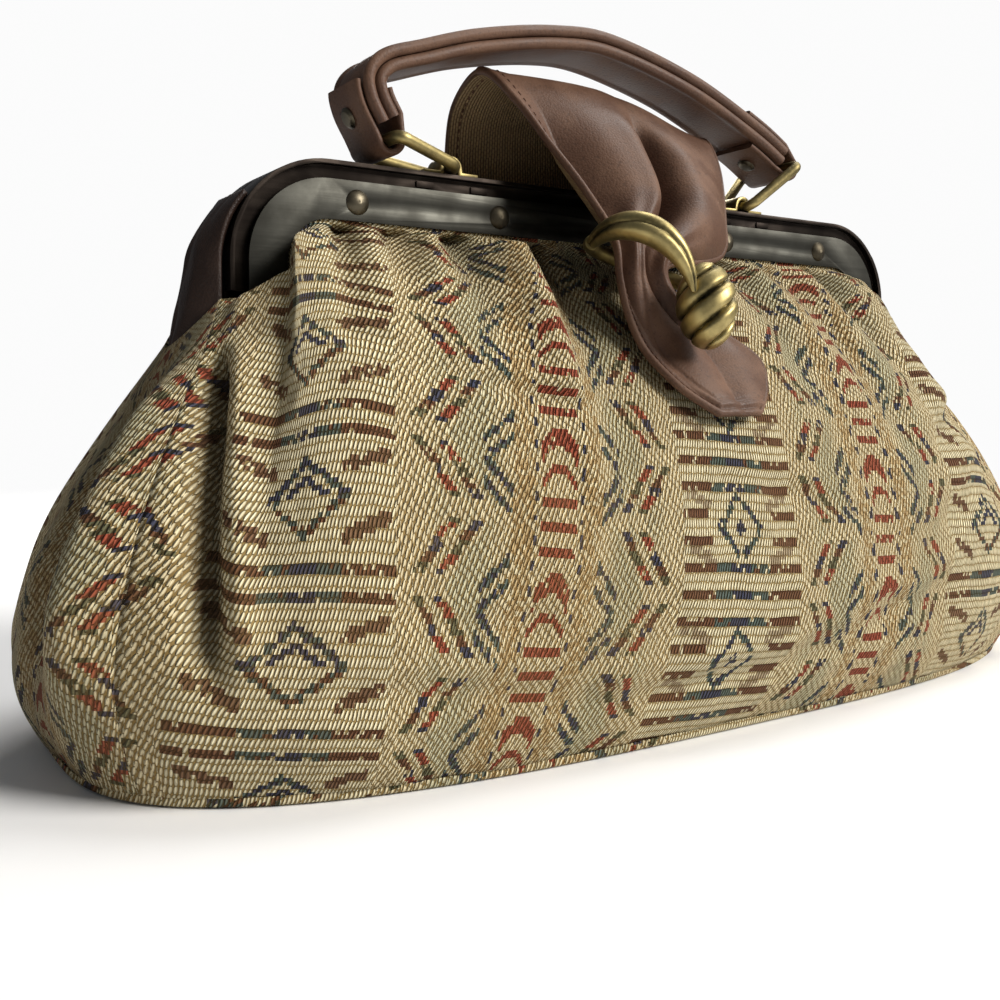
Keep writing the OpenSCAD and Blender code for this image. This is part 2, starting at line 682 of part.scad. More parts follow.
// Grooves: the leaf has one along its face, and those of the coil wind round it
function groove(kind, h, q) =
  kind == "hoop" ? 0 : kind == "leaf" ? 0.25*leaf_r*sin(20 + 153*q)*pow(1 - abs(cos(h - 30*q)), 1.4) :
  strand_r("coil", q)/coil_r*pow(1 - abs(cos(coil_lobes/2*(h - 300*q))), 1.4);
function strand_ring(kind, q, sides) =
  let (p = strand_pt(kind, q), d = unit(strand_pt(kind, q + 0.01) - strand_pt(kind, q - 0.01)),
       facing = kind == "hoop" ? [0.3, 0.3, 0.9] : [-0.55, -0.83, 0.1],
       side = unit(cross(d, facing)), out = cross(side, d))
  [for (i = [0:sides - 1]) let (h = 360*i/sides, r = strand_r(kind, q) - twist_groove*groove(kind, h, q))
    p + (side*cos(h) + out*sin(h))*r];
module strand(kind, rows, sides) {
  tube([for (i = [0:rows]) strand_ring(kind, i/rows, sides)]);
}

module twisted_ring() {
  color(old_brass) union() {
    strand("hoop", 14, 12);
    strand("leaf", 18, 16);
    strand("coil", 20, 24);
  }
}

// Tab: hangs from the middle rivet and hooks round the back of the twisted ring
tab_half = 4.5;
tab_wire = hoop_pt(0.5);
tab_side = unit(hoop_pt(0.51) - hoop_pt(0.49));
tab_back = unit([-tab_side[1], tab_side[0], 0]);
tab_up = cross(tab_side, tab_back);
tab_r = twist_thin + 1.5 + tab_t/2;
tab_y = -front_d - touch - tab_t/2;
hook = [for (g = [70:35:315]) tab_wire + (tab_back*cos(g) + tab_up*sin(g))*tab_r];
tab_path = concat([[0, tab_y, rivet_z + 4.4], [0, tab_y, rivet_z],
                   [0, tab_y, frame_top - plate_in - 0.5]], hook);
module ring_tab() {
  m = len(tab_path);
  function across(i) = i < 3 ? [1, 0, 0] : tab_side;
  function along(i) = unit(tab_path[min(i + 1, m - 1)] - tab_path[max(i - 1, 0)]);
  function off(i) = unit(cross(across(i), along(i)))*tab_t/2;
  function row(k) = [for (i = [0:m - 1]) [for (x = [-1, 1]) tab_path[i] + across(i)*tab_half*x + off(i)*k]];
  color([0.62, 0.55, 0.38]) difference() {
    sheet(row(-1), row(1));
    translate([0, -front_d + 1, rivet_z]) rotate([90, 0, 0]) cylinder(4, rivet_r + touch, rivet_r + touch);
  }
}

front_panel();
back_panel();
left_gusset();
right_gusset();
base_panel();
left_hinge_gore();
right_hinge_gore();
front_channel();
back_channel();
front_face_plate();
back_face_plate();
front_rivets();
back_rivets();
left_hinge_pin();
right_hinge_pin();
left_saddle();
right_saddle();
left_handle_ring();
right_handle_ring();
handle_outer_strap();
handle_inner_strap();
left_handle_loop();
right_handle_loop();
handle_rivets();
tongue_leather();
tongue_lining();
ring_tab();
twisted_ring();
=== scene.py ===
# %% [markdown]
# # A carpet bag, dressed around its CAD frame
# The real bag is a slumped tapestry bag that hangs from a hinged metal frame, with a short leather
# handle and a leather tongue drawn through a twisted brass ring. The CAD gives every place and size,
# so the first step loads it.

# %% Load the frame
import math
import bmesh
import bpy
from mathutils import Matrix, Vector, noise


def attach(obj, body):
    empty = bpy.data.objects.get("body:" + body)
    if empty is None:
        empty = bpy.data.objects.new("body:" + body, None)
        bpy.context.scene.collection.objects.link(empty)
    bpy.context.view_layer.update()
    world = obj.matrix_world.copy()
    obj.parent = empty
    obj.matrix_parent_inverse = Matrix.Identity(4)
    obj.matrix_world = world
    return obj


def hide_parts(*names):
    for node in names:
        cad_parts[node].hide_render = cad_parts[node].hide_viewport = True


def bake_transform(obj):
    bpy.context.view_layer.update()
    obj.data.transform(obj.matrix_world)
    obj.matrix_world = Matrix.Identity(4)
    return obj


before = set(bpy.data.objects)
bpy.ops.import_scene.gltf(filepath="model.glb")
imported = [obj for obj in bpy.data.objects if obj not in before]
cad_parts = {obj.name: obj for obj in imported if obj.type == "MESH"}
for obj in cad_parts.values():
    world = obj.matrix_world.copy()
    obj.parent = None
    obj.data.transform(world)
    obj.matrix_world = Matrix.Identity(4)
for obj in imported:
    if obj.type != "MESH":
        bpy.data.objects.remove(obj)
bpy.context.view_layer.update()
MM = 0.001
print("nodes in the frame:", len(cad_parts))

# %% [markdown]
# ## Camera, floor and light
# The picture is taken from close by, a little left of the bag's front and slightly from above, so
# the near end looks large. The lens is given in millimetres on a 36 mm sensor. A sun is the main light.
# It comes from the front right, so that the near end falls into shade, as on the real bag, and its
# wide angle makes the shadows soft. Two weaker lamps light the top and the far side. The world gives
# a dim bluish fill, and a white backdrop that only the camera sees.

# %% Camera
CAMERA_PLACE = (-0.2264, -0.2888, 0.0924)
yaw, pitch = math.radians(56.82), math.radians(-5.28)
look = Vector((math.cos(yaw)*math.cos(pitch), math.sin(yaw)*math.cos(pitch), math.sin(pitch)))
camera = bpy.data.objects.new("camera", bpy.data.cameras.new("camera"))
camera.data.lens = 39.6
camera.data.sensor_width = 36
camera.data.clip_start = 0.01
camera.location = CAMERA_PLACE
camera.rotation_euler = look.to_track_quat("-Z", "Y").to_euler()
bpy.context.collection.objects.link(camera)
bpy.context.scene.camera = camera
print("camera lens", camera.data.lens)

# %% Floor
FLOOR_RADIUS, FLOOR_GAP = 4, 0.0004
bm = bmesh.new()
bmesh.ops.create_circle(bm, cap_ends=True, segments=96, radius=FLOOR_RADIUS)
bmesh.ops.translate(bm, verts=bm.verts, vec=(0, 0, -FLOOR_GAP))
floor = bpy.data.objects.new("pale_floor", bpy.data.meshes.new("pale_floor"))
bm.to_mesh(floor.data)
bm.free()
bpy.context.collection.objects.link(floor)
print("floor ready")

# %% Light
BAG_MIDDLE = Vector((0, 0, 0.09))
SUN_DIRECTION = Vector((-0.52, 0.70, -0.50))


def soft_lamp(name, place, size, power, tint):
    lamp = bpy.data.objects.new(name, bpy.data.lights.new(name, "AREA"))
    lamp.data.shape = "DISK"
    lamp.data.size = size
    lamp.data.energy = power
    lamp.data.color = tint
    lamp.location = place
    aim = BAG_MIDDLE - Vector(place)
    lamp.rotation_euler = aim.to_track_quat("-Z", "Y").to_euler()
    bpy.context.collection.objects.link(lamp)


sun = bpy.data.objects.new("key_light", bpy.data.lights.new("key_light", "SUN"))
sun.data.energy = 4.6
sun.data.angle = math.radians(26)
sun.data.color = (1.0, 0.97, 0.93)
sun.rotation_euler = SUN_DIRECTION.to_track_quat("-Z", "Y").to_euler()
bpy.context.collection.objects.link(sun)
soft_lamp("top_lamp", (0.55, 0.05, 1.2), 0.8, 9, (1.0, 0.99, 0.97))
soft_lamp("back_lamp", (0.75, 1.05, 0.75), 0.9, 13, (1.0, 0.98, 0.96))
print("lamps ready")

# %% World
world = bpy.data.worlds.new("studio")
world.use_nodes = True
sky = world.node_tree
dim = sky.nodes["Background"]
dim.inputs["Color"].default_value = (0.90, 0.94, 1.0, 1)
dim.inputs["Strength"].default_value = 0.15
backdrop = sky.nodes.new("ShaderNodeBackground")
backdrop.inputs["Color"].default_value = (0.97, 0.97, 0.97, 1)
seen = sky.nodes.new("ShaderNodeLightPath")
either = sky.nodes.new("ShaderNodeMixShader")
sky.links.new(seen.outputs["Is Camera Ray"], either.inputs[0])
sky.links.new(dim.outputs[0], either.inputs[1])
sky.links.new(backdrop.outputs[0], either.inputs[2])
sky.links.new(either.outputs[0], sky.nodes["World Output"].inputs[0])
bpy.context.scene.world = world
bpy.context.scene.view_settings.view_transform = "Standard"
print("world ready")

# %% [markdown]
# ## A short way to write shader maths
# A woven pattern needs many Math nodes. A small class lets us write them as a formula: adding or
# multiplying two wires places the node and joins it up. Near, over and under give masks, which are 1
# where the statement holds and 0 elsewhere. Each helper after the class is one kind of node.


# %% Wires
class Wire:
    def __init__(self, tree, socket):
        self.tree = tree
        self.socket = socket

    def maths(self, operation, *others):
        node = self.tree.nodes.new("ShaderNodeMath")
        node.operation = operation
        for slot, value in zip(node.inputs, (self,) + others):
            plug(self.tree, slot, value)
        return Wire(self.tree, node.outputs[0])

    def __add__(self, other):
        return self.maths("ADD", other)

    def __sub__(self, other):
        return self.maths("SUBTRACT", other)

    def __mul__(self, other):
        return self.maths("MULTIPLY", other)

    def __truediv__(self, other):
        return self.maths("DIVIDE", other)

    def near(self, middle, half):
        return self.maths("COMPARE", middle, half)

    def over(self, level):
        return self.maths("GREATER_THAN", level)

    def under(self, level):
        return self.maths("LESS_THAN", level)

    def either(self, other):
        return self.maths("MAXIMUM", other)

    def size(self):
        return self.maths("ABSOLUTE")

    def floor(self):
        return self.maths("FLOOR")

    def fract(self):
        return self.maths("FRACT")

    def wrap(self, half):
        return self.maths("WRAP", half, -half)


def plug(tree, slot, value):
    if isinstance(value, Wire):
        tree.links.new(value.socket, slot)
    else:
        slot.default_value = value


print("wires ready")


# %% Colour, noise and bump nodes
def paint(tree, under, over, mask, blend="MIX"):
    node = tree.nodes.new("ShaderNodeMix")
    node.data_type = "RGBA"
    node.blend_type = blend
    for slot, value in ((node.inputs[0], mask), (node.inputs[6], under), (node.inputs[7], over)):
        plug(tree, slot, value)
    return Wire(tree, node.outputs[2])


def paint_all(tree, colour, *coats):
    for over, mask in coats:
        colour = paint(tree, colour, over, mask)
    return colour


def ramp(tree, value, low, high):
    node = tree.nodes.new("ShaderNodeMapRange")
    node.interpolation_type = "SMOOTHSTEP"
    for slot, v in zip(node.inputs, (value, low, high)):
        plug(tree, slot, v)
    return Wire(tree, node.outputs[0])


def mottle(tree, where, scale, detail=3.0):
    node = tree.nodes.new("ShaderNodeTexNoise")
    plug(tree, node.inputs["Vector"], where)
    node.inputs["Scale"].default_value = scale
    node.inputs["Detail"].default_value = detail
    return Wire(tree, node.outputs[0])


def chance(tree, a, b):
    join = tree.nodes.new("ShaderNodeCombineXYZ")
    plug(tree, join.inputs[0], a)
    plug(tree, join.inputs[1], b)
    node = tree.nodes.new("ShaderNodeTexWhiteNoise")
    node.noise_dimensions = "2D"
    tree.links.new(join.outputs[0], node.inputs["Vector"])
    return Wire(tree, node.outputs[0])


def coords(tree, kind):
    if kind == "Object":
        return Wire(tree, tree.nodes.new("ShaderNodeTexCoord").outputs["Object"])
    node = tree.nodes.new("ShaderNodeUVMap")
    node.uv_map = kind
    return Wire(tree, node.outputs[0])


def rub_and_shade_mark(tree):
    """How far the piece's edge attribute marks this spot: rubbed bright on metal, and darkened by painted
    shade on cloth.
    """
    node = tree.nodes.new("ShaderNodeAttribute")
    node.attribute_name = "edge"
    return Wire(tree, node.outputs["Fac"])


def raise_by(tree, shader, height, depth):
    node = tree.nodes.new("ShaderNodeBump")
    node.inputs["Strength"].default_value = 1.0
    node.inputs["Distance"].default_value = depth
    plug(tree, node.inputs["Height"], height)
    tree.links.new(node.outputs[0], shader.inputs["Normal"])


def in_mm(tree, where):
    node = tree.nodes.new("ShaderNodeVectorMath")
    node.operation = "SCALE"
    plug(tree, node.inputs[0], where)
    node.inputs["Scale"].default_value = 1/MM
    split = tree.nodes.new("ShaderNodeSeparateXYZ")
    tree.links.new(node.outputs[0], split.inputs[0])
    return Wire(tree, split.outputs[0]), Wire(tree, split.outputs[1])


print("shader nodes ready")


# %% Groups and materials
def new_group(name, ins, outs):
    tree = bpy.data.node_groups.new(name, "ShaderNodeTree")
    for label, kind in ins:
        tree.interface.new_socket(label, in_out="INPUT", socket_type="NodeSocket" + kind)
    for label, kind in outs:
        tree.interface.new_socket(label, in_out="OUTPUT", socket_type="NodeSocket" + kind)
    start = tree.nodes.new("NodeGroupInput")
    end = tree.nodes.new("NodeGroupOutput")
    return tree, {s.name: Wire(tree, s) for s in start.outputs if s.name}, end


def new_material(name, rough, metal=0.0, specular=0.5):
    material = bpy.data.materials.new(name)
    material.use_nodes = True
    shader = material.node_tree.nodes["Principled BSDF"]
    shader.inputs["Roughness"].default_value = rough
    shader.inputs["Metallic"].default_value = metal
    shader.inputs["Specular IOR Level"].default_value = specular
    return material, material.node_tree, shader


def place_group(tree, group, **values):
    node = tree.nodes.new("ShaderNodeGroup")
    node.node_tree = group
    for label, value in values.items():
        plug(tree, node.inputs[label], value)
    return {s.name: Wire(tree, s) for s in node.outputs}


print("group and material helpers ready")

# %% [markdown]
# ## Tapestry
# The cloth is woven: short stitches in rows, with a flat-woven rug pattern in muted reds, browns,
# blues and greens on a cream ground. An image would be the easy way, but a pattern built from the
# weave itself stays sharp at any size. The cloth's own UV map is in metres, so a stitch is 0.98 mm
# wide and a row 2.36 mm high. The pattern is asked for at the middle of each stitch, which gives the
# stepped edges of a real weave. Places and widths in the pattern are in millimetres. An attribute
# called edge marks the deep folds and the middle of the end panels, where painted shade darkens the cloth.

# %% Tapestry colours and cells
STITCH, ROW, FINE = 0.98, 2.36, 1.18
REPEAT_U, REPEAT_V = 130.0, 15*ROW
RED_COLUMN, DIAMOND_ROW = -73.0, 56.6
BLOCK_HALF = 22.6
cream, ivory, olive = (0.86, 0.74, 0.47, 1), (0.93, 0.85, 0.58, 1), (0.66, 0.62, 0.41, 1)
brown, rust_red, ochre = (0.185, 0.082, 0.040, 1), (0.38, 0.085, 0.045, 1), (0.52, 0.33, 0.12, 1)
navy, teal, leaf = (0.055, 0.062, 0.105, 1), (0.105, 0.145, 0.125, 1), (0.15, 0.15, 0.08, 1)
white, between_stitches = (1, 1, 1, 1), (0.27, 0.205, 0.105, 1)
# The last colour on the next line is painted shade, laid into deep folds and the middle of the end panels.
deep_shade, yellowed, painted_shade_colour = (0.06, 0.04, 0.018, 1), (0.30, 0.19, 0.07, 1), (0.055, 0.038, 0.020, 1)

tapestry_group, given, done = new_group(
    "tapestry_weave", [("Cloth", "Vector")], [("Color", "Color"), ("Height", "Float")])
tree = tapestry_group
u, v = in_mm(tree, given["Cloth"])
u = u + (mottle(tree, given["Cloth"], 60) - 0.5)*2.2
v = v + (mottle(tree, given["Cloth"], 43) - 0.5)*2.0
column, row, fine_row = (u/STITCH).floor(), (v/ROW).floor(), (v/FINE).floor()
half_u, half_v = REPEAT_U/2, REPEAT_V/2
from_column = (column + 0.5)*STITCH - RED_COLUMN
from_red = from_column.wrap(half_u).size()
from_block = from_red*-1 + half_u
odd_block = ((from_column/REPEAT_U).floor()*0.5).fract().over(0.25)
even_block = odd_block*-1 + 1.0
rise = ((fine_row + 0.5)*FINE - DIAMOND_ROW).wrap(half_v)
level = rise.size()
tier = (rise + half_v).wrap(half_v)
luck = chance(tree, column, row)
fine_luck = chance(tree, column, fine_row)
sure = fine_luck.over(0.10)
print("stitches of", STITCH, "by", ROW, "mm")

# %% Tapestry blocks
# Ground: cream by the stripes and the red columns, greyer olive in the fields between
BAR_HALF, LEAF_HALF = 1.2, 1.5
block = from_block.under(BLOCK_HALF)
colour = paint_all(tree, olive, (cream, ramp(tree, from_block, 38, 26)),
                   (cream, ramp(tree, from_red, 22, 14)), (ivory, block*0.75))
# Stripes: three between the diamonds of one block, two in the next
even_bars = level.near(10.62, BAR_HALF).either(level.near(17.7, BAR_HALF))*even_block
bars = even_bars.either(level.near(14.75, BAR_HALF)*odd_block)*block*sure
colour = paint_all(tree, colour, (brown, bars), (teal, bars*from_block.under(10.0)*fine_luck.over(0.2)),
                   (navy, bars*from_block.under(3.4)))
# Diamonds, with short bars or leaves at their sides
short_bars = level.near(3.54, BAR_HALF)*block*from_block.over(11.5)*even_block
leaf_reach = from_block.near(15.5, 5.4)
leaf_up = (rise - from_block*0.34).near(2.4, LEAF_HALF)*leaf_reach
leaf_low = (rise - from_block*0.42).near(-13.4, LEAF_HALF)*leaf_reach
leaves = leaf_up.either(leaf_low)*(odd_block*0.35 + 0.6)
diamond = from_block/(odd_block*3.4 + 9.0) + level/9.4
ring_line = diamond.near(0.87, 0.13)*sure
colour = paint_all(tree, colour, (brown, short_bars.either(leaves)*sure), (teal, ring_line),
                   (navy, ring_line*fine_luck.over(0.55)),
                   (brown, ring_line*rise.under(-1.0)*fine_luck.over(0.5)*odd_block),
                   (navy, diamond.near(0.47, 0.10)*rise.over(0.0)*odd_block),
                   (navy, diamond.under(0.24)*even_block*sure))
print("nodes up to the diamonds:", len(tree.nodes))

# %% Tapestry zigzags and red columns
# Zigzags of coloured dashes on both sides of each block
zigzag = from_block + level*0.72
for offset, shift in ((38.6, 0.20), (44.6, 0.62)):
    dash = zigzag.near(offset, 1.5)*level.near(8.9, 6.8)*sure
    tick = (level/12.5 + shift).fract()
    colour = paint_all(tree, colour, (cream, zigzag.near(offset, 2.7)*0.8), (brown, dash),
                       (leaf, dash*tick.over(0.22)), (rust_red, dash*tick.over(0.50)),
                       (navy, dash*tick.over(0.74)))
# Red columns: a thick arch, a thin one and three bars, between flecks of ochre and blue slants
RUNG_HALF, SLANT_HALF = 0.9, 1.35
spread = (tier - 12.2).wrap(half_v).size() - from_red*0.95
slants = spread.near(-7.4, SLANT_HALF).either(spread.near(-2.2, SLANT_HALF))*from_red.near(17.0, 3.6)
arch = tier + from_red*from_red*0.17
arches = arch.near(2.4, 2.5).either(arch.near(-5.6, 1.0))
rungs = tier.near(-14.2, RUNG_HALF).either(tier.near(15.3, RUNG_HALF)).either(tier.near(9.6, RUNG_HALF))
flank = (tier*0.16 + from_red*0.12).fract().over(0.55)
colour = paint_all(tree, colour, (ochre, from_red.near(10.4, 2.8)*fine_luck.over(0.45)*0.7),
                   (teal, slants*sure), (navy, slants*fine_luck.over(0.62)),
                   (rust_red, arches.either(rungs)*from_red.under(5.2)*fine_luck.over(0.04)),
                   (navy, from_red.near(6.8, 0.9)*flank*sure))
print("nodes up to the red columns:", len(tree.nodes))

# %% Tapestry stitches
# A stitch is a rounded stroke that leans and narrows to its ends, so the gaps show as dark flecks
stagger = (column/3.0).fract()*(block*-1 + 1.0) + chance(tree, column, 3.0)*0.16
along = (v/ROW + stagger).fract()*2.0 - 1.0
across = ((u - along*0.30)/STITCH + (v/ROW + stagger).floor()*0.37).fract()*2.0 - 1.0
slim = along*along*-0.55 + 1.0
ends = ramp(tree, along.size(), 1.0, 0.80)
stroke = ramp(tree, across.size()/slim, 1.0, 0.15)*ends
thread = ramp(tree, stroke, 0.0, 0.62)
colour = paint(tree, deep_shade, colour, luck*0.36 + 0.64)
colour = paint(tree, colour, paint(tree, between_stitches, white, thread), 1.0, "MULTIPLY")
age = ramp(tree, mottle(tree, given["Cloth"], 14), 0.40, 0.72)
plug(tree, done.inputs["Color"], paint(tree, colour, yellowed, age*0.18))
plug(tree, done.inputs["Height"], stroke*(luck*0.5 + 0.5))

tapestry, tree, shader = new_material("tapestry", 0.92, specular=0.2)
woven = place_group(tree, tapestry_group, Cloth=coords(tree, "cloth"))
# Painted shade: the cloth is darkened by up to 62 per cent where the edge attribute marks deep folds and end
# panels.
plug(tree, shader.inputs["Base Color"], paint(tree, woven["Color"], painted_shade_colour, rub_and_shade_mark(tree)*0.62))
raise_by(tree, shader, woven["Height"], 0.0010)
print("tapestry nodes:", len(tapestry_group.nodes))

# %% [markdown]
# ## Leather
# The leather is worn, satin and finely grained. Small cells of a Voronoi texture make the pebbles
# and a noise breaks them up. The same group serves the brown handle leather and the darker ends,
# each with its own colours.

# %% Leather
leather_group, given, done = new_group(
    "leather_grain", [("Place", "Vector"), ("Dark", "Color"), ("Light", "Color")],
    [("Color", "Color"), ("Rough", "Float"), ("Height", "Float")])
tree = leather_group
cells = tree.nodes.new("ShaderNodeTexVoronoi")
plug(tree, cells.inputs["Vector"], given["Place"])
cells.inputs["Scale"].default_value = 1500
pebble = Wire(tree, cells.outputs["Distance"])
pores = mottle(tree, given["Place"], 2600, 2.0)
scuff = ramp(tree, mottle(tree, given["Place"], 70, 6.0), 0.38, 0.68)
wash = mottle(tree, given["Place"], 22, 2.0)
colour = paint(tree, given["Dark"], given["Light"], scuff*0.55 + wash*0.45)
pits = ramp(tree, pebble, 0.55, 0.95)*0.35
plug(tree, done.inputs["Color"], paint(tree, colour, (0.02, 0.012, 0.008, 1), pits))
plug(tree, done.inputs["Rough"], scuff*0.14 + 0.50)
plug(tree, done.inputs["Height"], pebble*-0.7 + pores*0.5)


def leather(name, dark, light, depth):
    material, tree, shader = new_material(name, 0.5, specular=0.28)
    skin = place_group(tree, leather_group, Place=coords(tree, "Object"), Dark=dark, Light=light)
    plug(tree, shader.inputs["Base Color"], skin["Color"])
    plug(tree, shader.inputs["Roughness"], skin["Rough"])
    raise_by(tree, shader, skin["Height"], depth)
    return material


brown_leather = leather("brown_leather", (0.068, 0.032, 0.019, 1), (0.145, 0.078, 0.047, 1), 0.00009)
dark_leather = leather("dark_leather", (0.012, 0.006, 0.004, 1), (0.036, 0.018, 0.011, 1), 0.00015)
print("leathers ready")

# %% [markdown]
# ## Ribbed lining, tab cloth and thread
# The tongue and the back of the bag are lined with a ribbed brown cloth, and the ring hangs from a tab
# of plain weave. Ribs are a rounded wave over the piece's own UV map, crossed by finer threads, and
# the same group gives the stitching thread its twist. Each rib's crown is painted in the light colour and
# its groove in the dark one, as painted highlight and shade.

# %% Ribbed cloths
rib_group, given, done = new_group(
    "woven_ribs",
    [("Cloth", "Vector"), ("Rib", "Float"), ("Pick", "Float"), ("Dark", "Color"), ("Light", "Color")],
    [("Color", "Color"), ("Height", "Float")])
tree = rib_group
u, v = in_mm(tree, given["Cloth"])
v = v + (mottle(tree, given["Cloth"], 90) - 0.5)*0.8
rib = (v/given["Rib"]).fract()*2.0 - 1.0
pick = (u/given["Pick"] + (v/given["Rib"]).floor()*0.5).fract()*2.0 - 1.0
bulge = (rib*rib*-1 + 1.0)*(pick*pick*-0.5 + 1.0)
fade = mottle(tree, given["Cloth"], 40)
# Painted highlight and shade: a rib's crown gets the Light colour and its groove the Dark colour.
lit = ramp(tree, bulge, 0.1, 0.9)*(fade*0.6 + 0.6)
plug(tree, done.inputs["Color"], paint(tree, given["Dark"], given["Light"], lit))
plug(tree, done.inputs["Height"], bulge)


def ribbed(name, rib, pick, dark, light):
    material, tree, shader = new_material(name, 0.8, specular=0.25)
    cloth = place_group(tree, rib_group, Cloth=coords(tree, "cloth"), Rib=rib, Pick=pick, Dark=dark,
                        Light=light)
    plug(tree, shader.inputs["Base Color"], cloth["Color"])
    raise_by(tree, shader, cloth["Height"], 0.0003)
    return material


ribbed_lining = ribbed("ribbed_lining", 1.0, 1.6, (0.115, 0.072, 0.034, 1), (0.36, 0.25, 0.13, 1))
tab_webbing = ribbed("tab_webbing", 1.6, 0.9, (0.16, 0.12, 0.06, 1), (0.48, 0.40, 0.22, 1))
thread_brown = ribbed("thread_brown", 0.5, 0.4, (0.09, 0.045, 0.028, 1), (0.26, 0.14, 0.09, 1))
print("ribbed cloths ready")

# %% [markdown]
# ## Metals
# The old metals are a nearly black bronze frame with a bright worn edge, brushed pewter plates, dull
# rivets and antique brass. One group gives patches of tarnish and fine brush lines. The attribute
# called edge marks rounded corners and raised lobes, where hands have rubbed the finish away. The
# pale floor is made here too, and is see-through a little way off, so that it fades into the backdrop.

# %% Metals
metal_group, given, done = new_group(
    "aged_metal",
    [("Place", "Vector"), ("Dark", "Color"), ("Light", "Color"), ("Worn", "Float"), ("Stretch", "Vector")],
    [("Color", "Color"), ("Rough", "Float"), ("Height", "Float")])
tree = metal_group
brush = tree.nodes.new("ShaderNodeVectorMath")
brush.operation = "MULTIPLY"
plug(tree, brush.inputs[0], given["Place"])
plug(tree, brush.inputs[1], given["Stretch"])
lines = mottle(tree, Wire(tree, brush.outputs[0]), 900, 3.0)
patch = ramp(tree, mottle(tree, given["Place"], 90, 5.0), 0.36, 0.66)
bright = (patch*0.6 + lines*0.4 + given["Worn"]).maths("MINIMUM", 1.0)
plug(tree, done.inputs["Color"], paint(tree, given["Dark"], given["Light"], bright))
plug(tree, done.inputs["Rough"], lines*0.14 + patch*-0.08 + 0.44)
plug(tree, done.inputs["Height"], lines)


def metal(name, dark, light, stretch, rubbed, depth):
    material, tree, shader = new_material(name, 0.35, metal=1.0)
    old = place_group(tree, metal_group, Place=coords(tree, "Object"), Dark=dark, Light=light,
                      Worn=rub_and_shade_mark(tree)*rubbed, Stretch=stretch)
    plug(tree, shader.inputs["Base Color"], old["Color"])
    plug(tree, shader.inputs["Roughness"], old["Rough"])
    raise_by(tree, shader, old["Height"], depth)
    return material


LENGTHWISE, ALL_WAYS = (0.05, 1, 1), (1, 1, 1)
dark_bronze = metal("dark_bronze", (0.009, 0.007, 0.006, 1), (0.034, 0.027, 0.022, 1),
                    LENGTHWISE, 0.75, 0.00002)
pewter = metal("pewter", (0.026, 0.025, 0.021, 1), (0.056, 0.055, 0.047, 1), LENGTHWISE, 1.2, 0.00003)
rivet_metal = metal("rivet_metal", (0.040, 0.033, 0.022, 1), (0.125, 0.108, 0.076, 1),
                    ALL_WAYS, 0.3, 0.00003)
antique_brass = metal("antique_brass", (0.040, 0.034, 0.018, 1), (0.46, 0.37, 0.16, 1),
                      ALL_WAYS, 0.36, 0.00003)
print("metals ready")

# %% Pale floor
FADE_FAR, FADE_NEAR = 0.95, 0.38
pale, tree, shader = new_material("pale_floor", 0.9, specular=0.1)
where = coords(tree, "Object")
dust = mottle(tree, where, 3.0)
plug(tree, shader.inputs["Base Color"], paint(tree, (0.88, 0.88, 0.88, 1), (0.91, 0.91, 0.91, 1), dust))
away = tree.nodes.new("ShaderNodeVectorMath")
away.operation = "LENGTH"
plug(tree, away.inputs[0], where)
plug(tree, shader.inputs["Alpha"], ramp(tree, Wire(tree, away.outputs["Value"]), FADE_FAR, FADE_NEAR))
floor.data.materials.append(pale)
print("floor painted")

# %% [markdown]
# ## One way to lay a surface
# Cloth, straps and wire are all a grid that has been bent to a shape. So one helper starts
# from a bmesh grid, asks a function where each of its corners lies in millimetres, and gives the
# grid a UV map in metres. A tube is a grid whose long edges are welded, with its ends filled. The small
# functions before it mix two values, ease between 0 and 1, and run a smooth curve through stations.


# %% Curves
def mix(a, b, t):
    return a + (b - a)*t


def clip(t):
    return min(1.0, max(0.0, t))


def ease(t):
    t = clip(t)
    return t*t*(3 - 2*t)


def bell(distance, half):
    return math.exp(-(distance/half)**2)


def through(stations, q):
    """A smooth curve through given stations; q runs from 0 to 1."""
    last = len(stations) - 1
    q = clip(q)
    k = min(int(q*last), last - 1)
    t = q*last - k
    a, b, c, d = (stations[min(max(k + i, 0), last)] for i in (-1, 0, 1, 2))
    return [0.5*(2*b[i] + (c[i] - a[i])*t + (2*a[i] - 5*b[i] + 4*c[i] - d[i])*t*t
                 + (3*b[i] - a[i] - 3*c[i] + d[i])*t**3) for i in range(len(b))]


print("middle of 1, 2, 4 on a smooth curve:", through([(1,), (2,), (4,)], 0.5))

# %% Lay a grid on a shape
SMOOTH_ANGLE = math.radians(50)
WELD_GAP = 1e-6


def finish_piece(bm, name, material):
    piece = bpy.data.objects.new(name, bpy.data.meshes.new(name))
    for face in bm.faces:
        face.smooth = True
    for edge in bm.edges:
        edge.smooth = len(edge.link_faces) != 2 or edge.calc_face_angle(0) < SMOOTH_ANGLE
    bm.to_mesh(piece.data)
    bm.free()
    piece.data.materials.append(material)
    bpy.context.collection.objects.link(piece)
    return piece


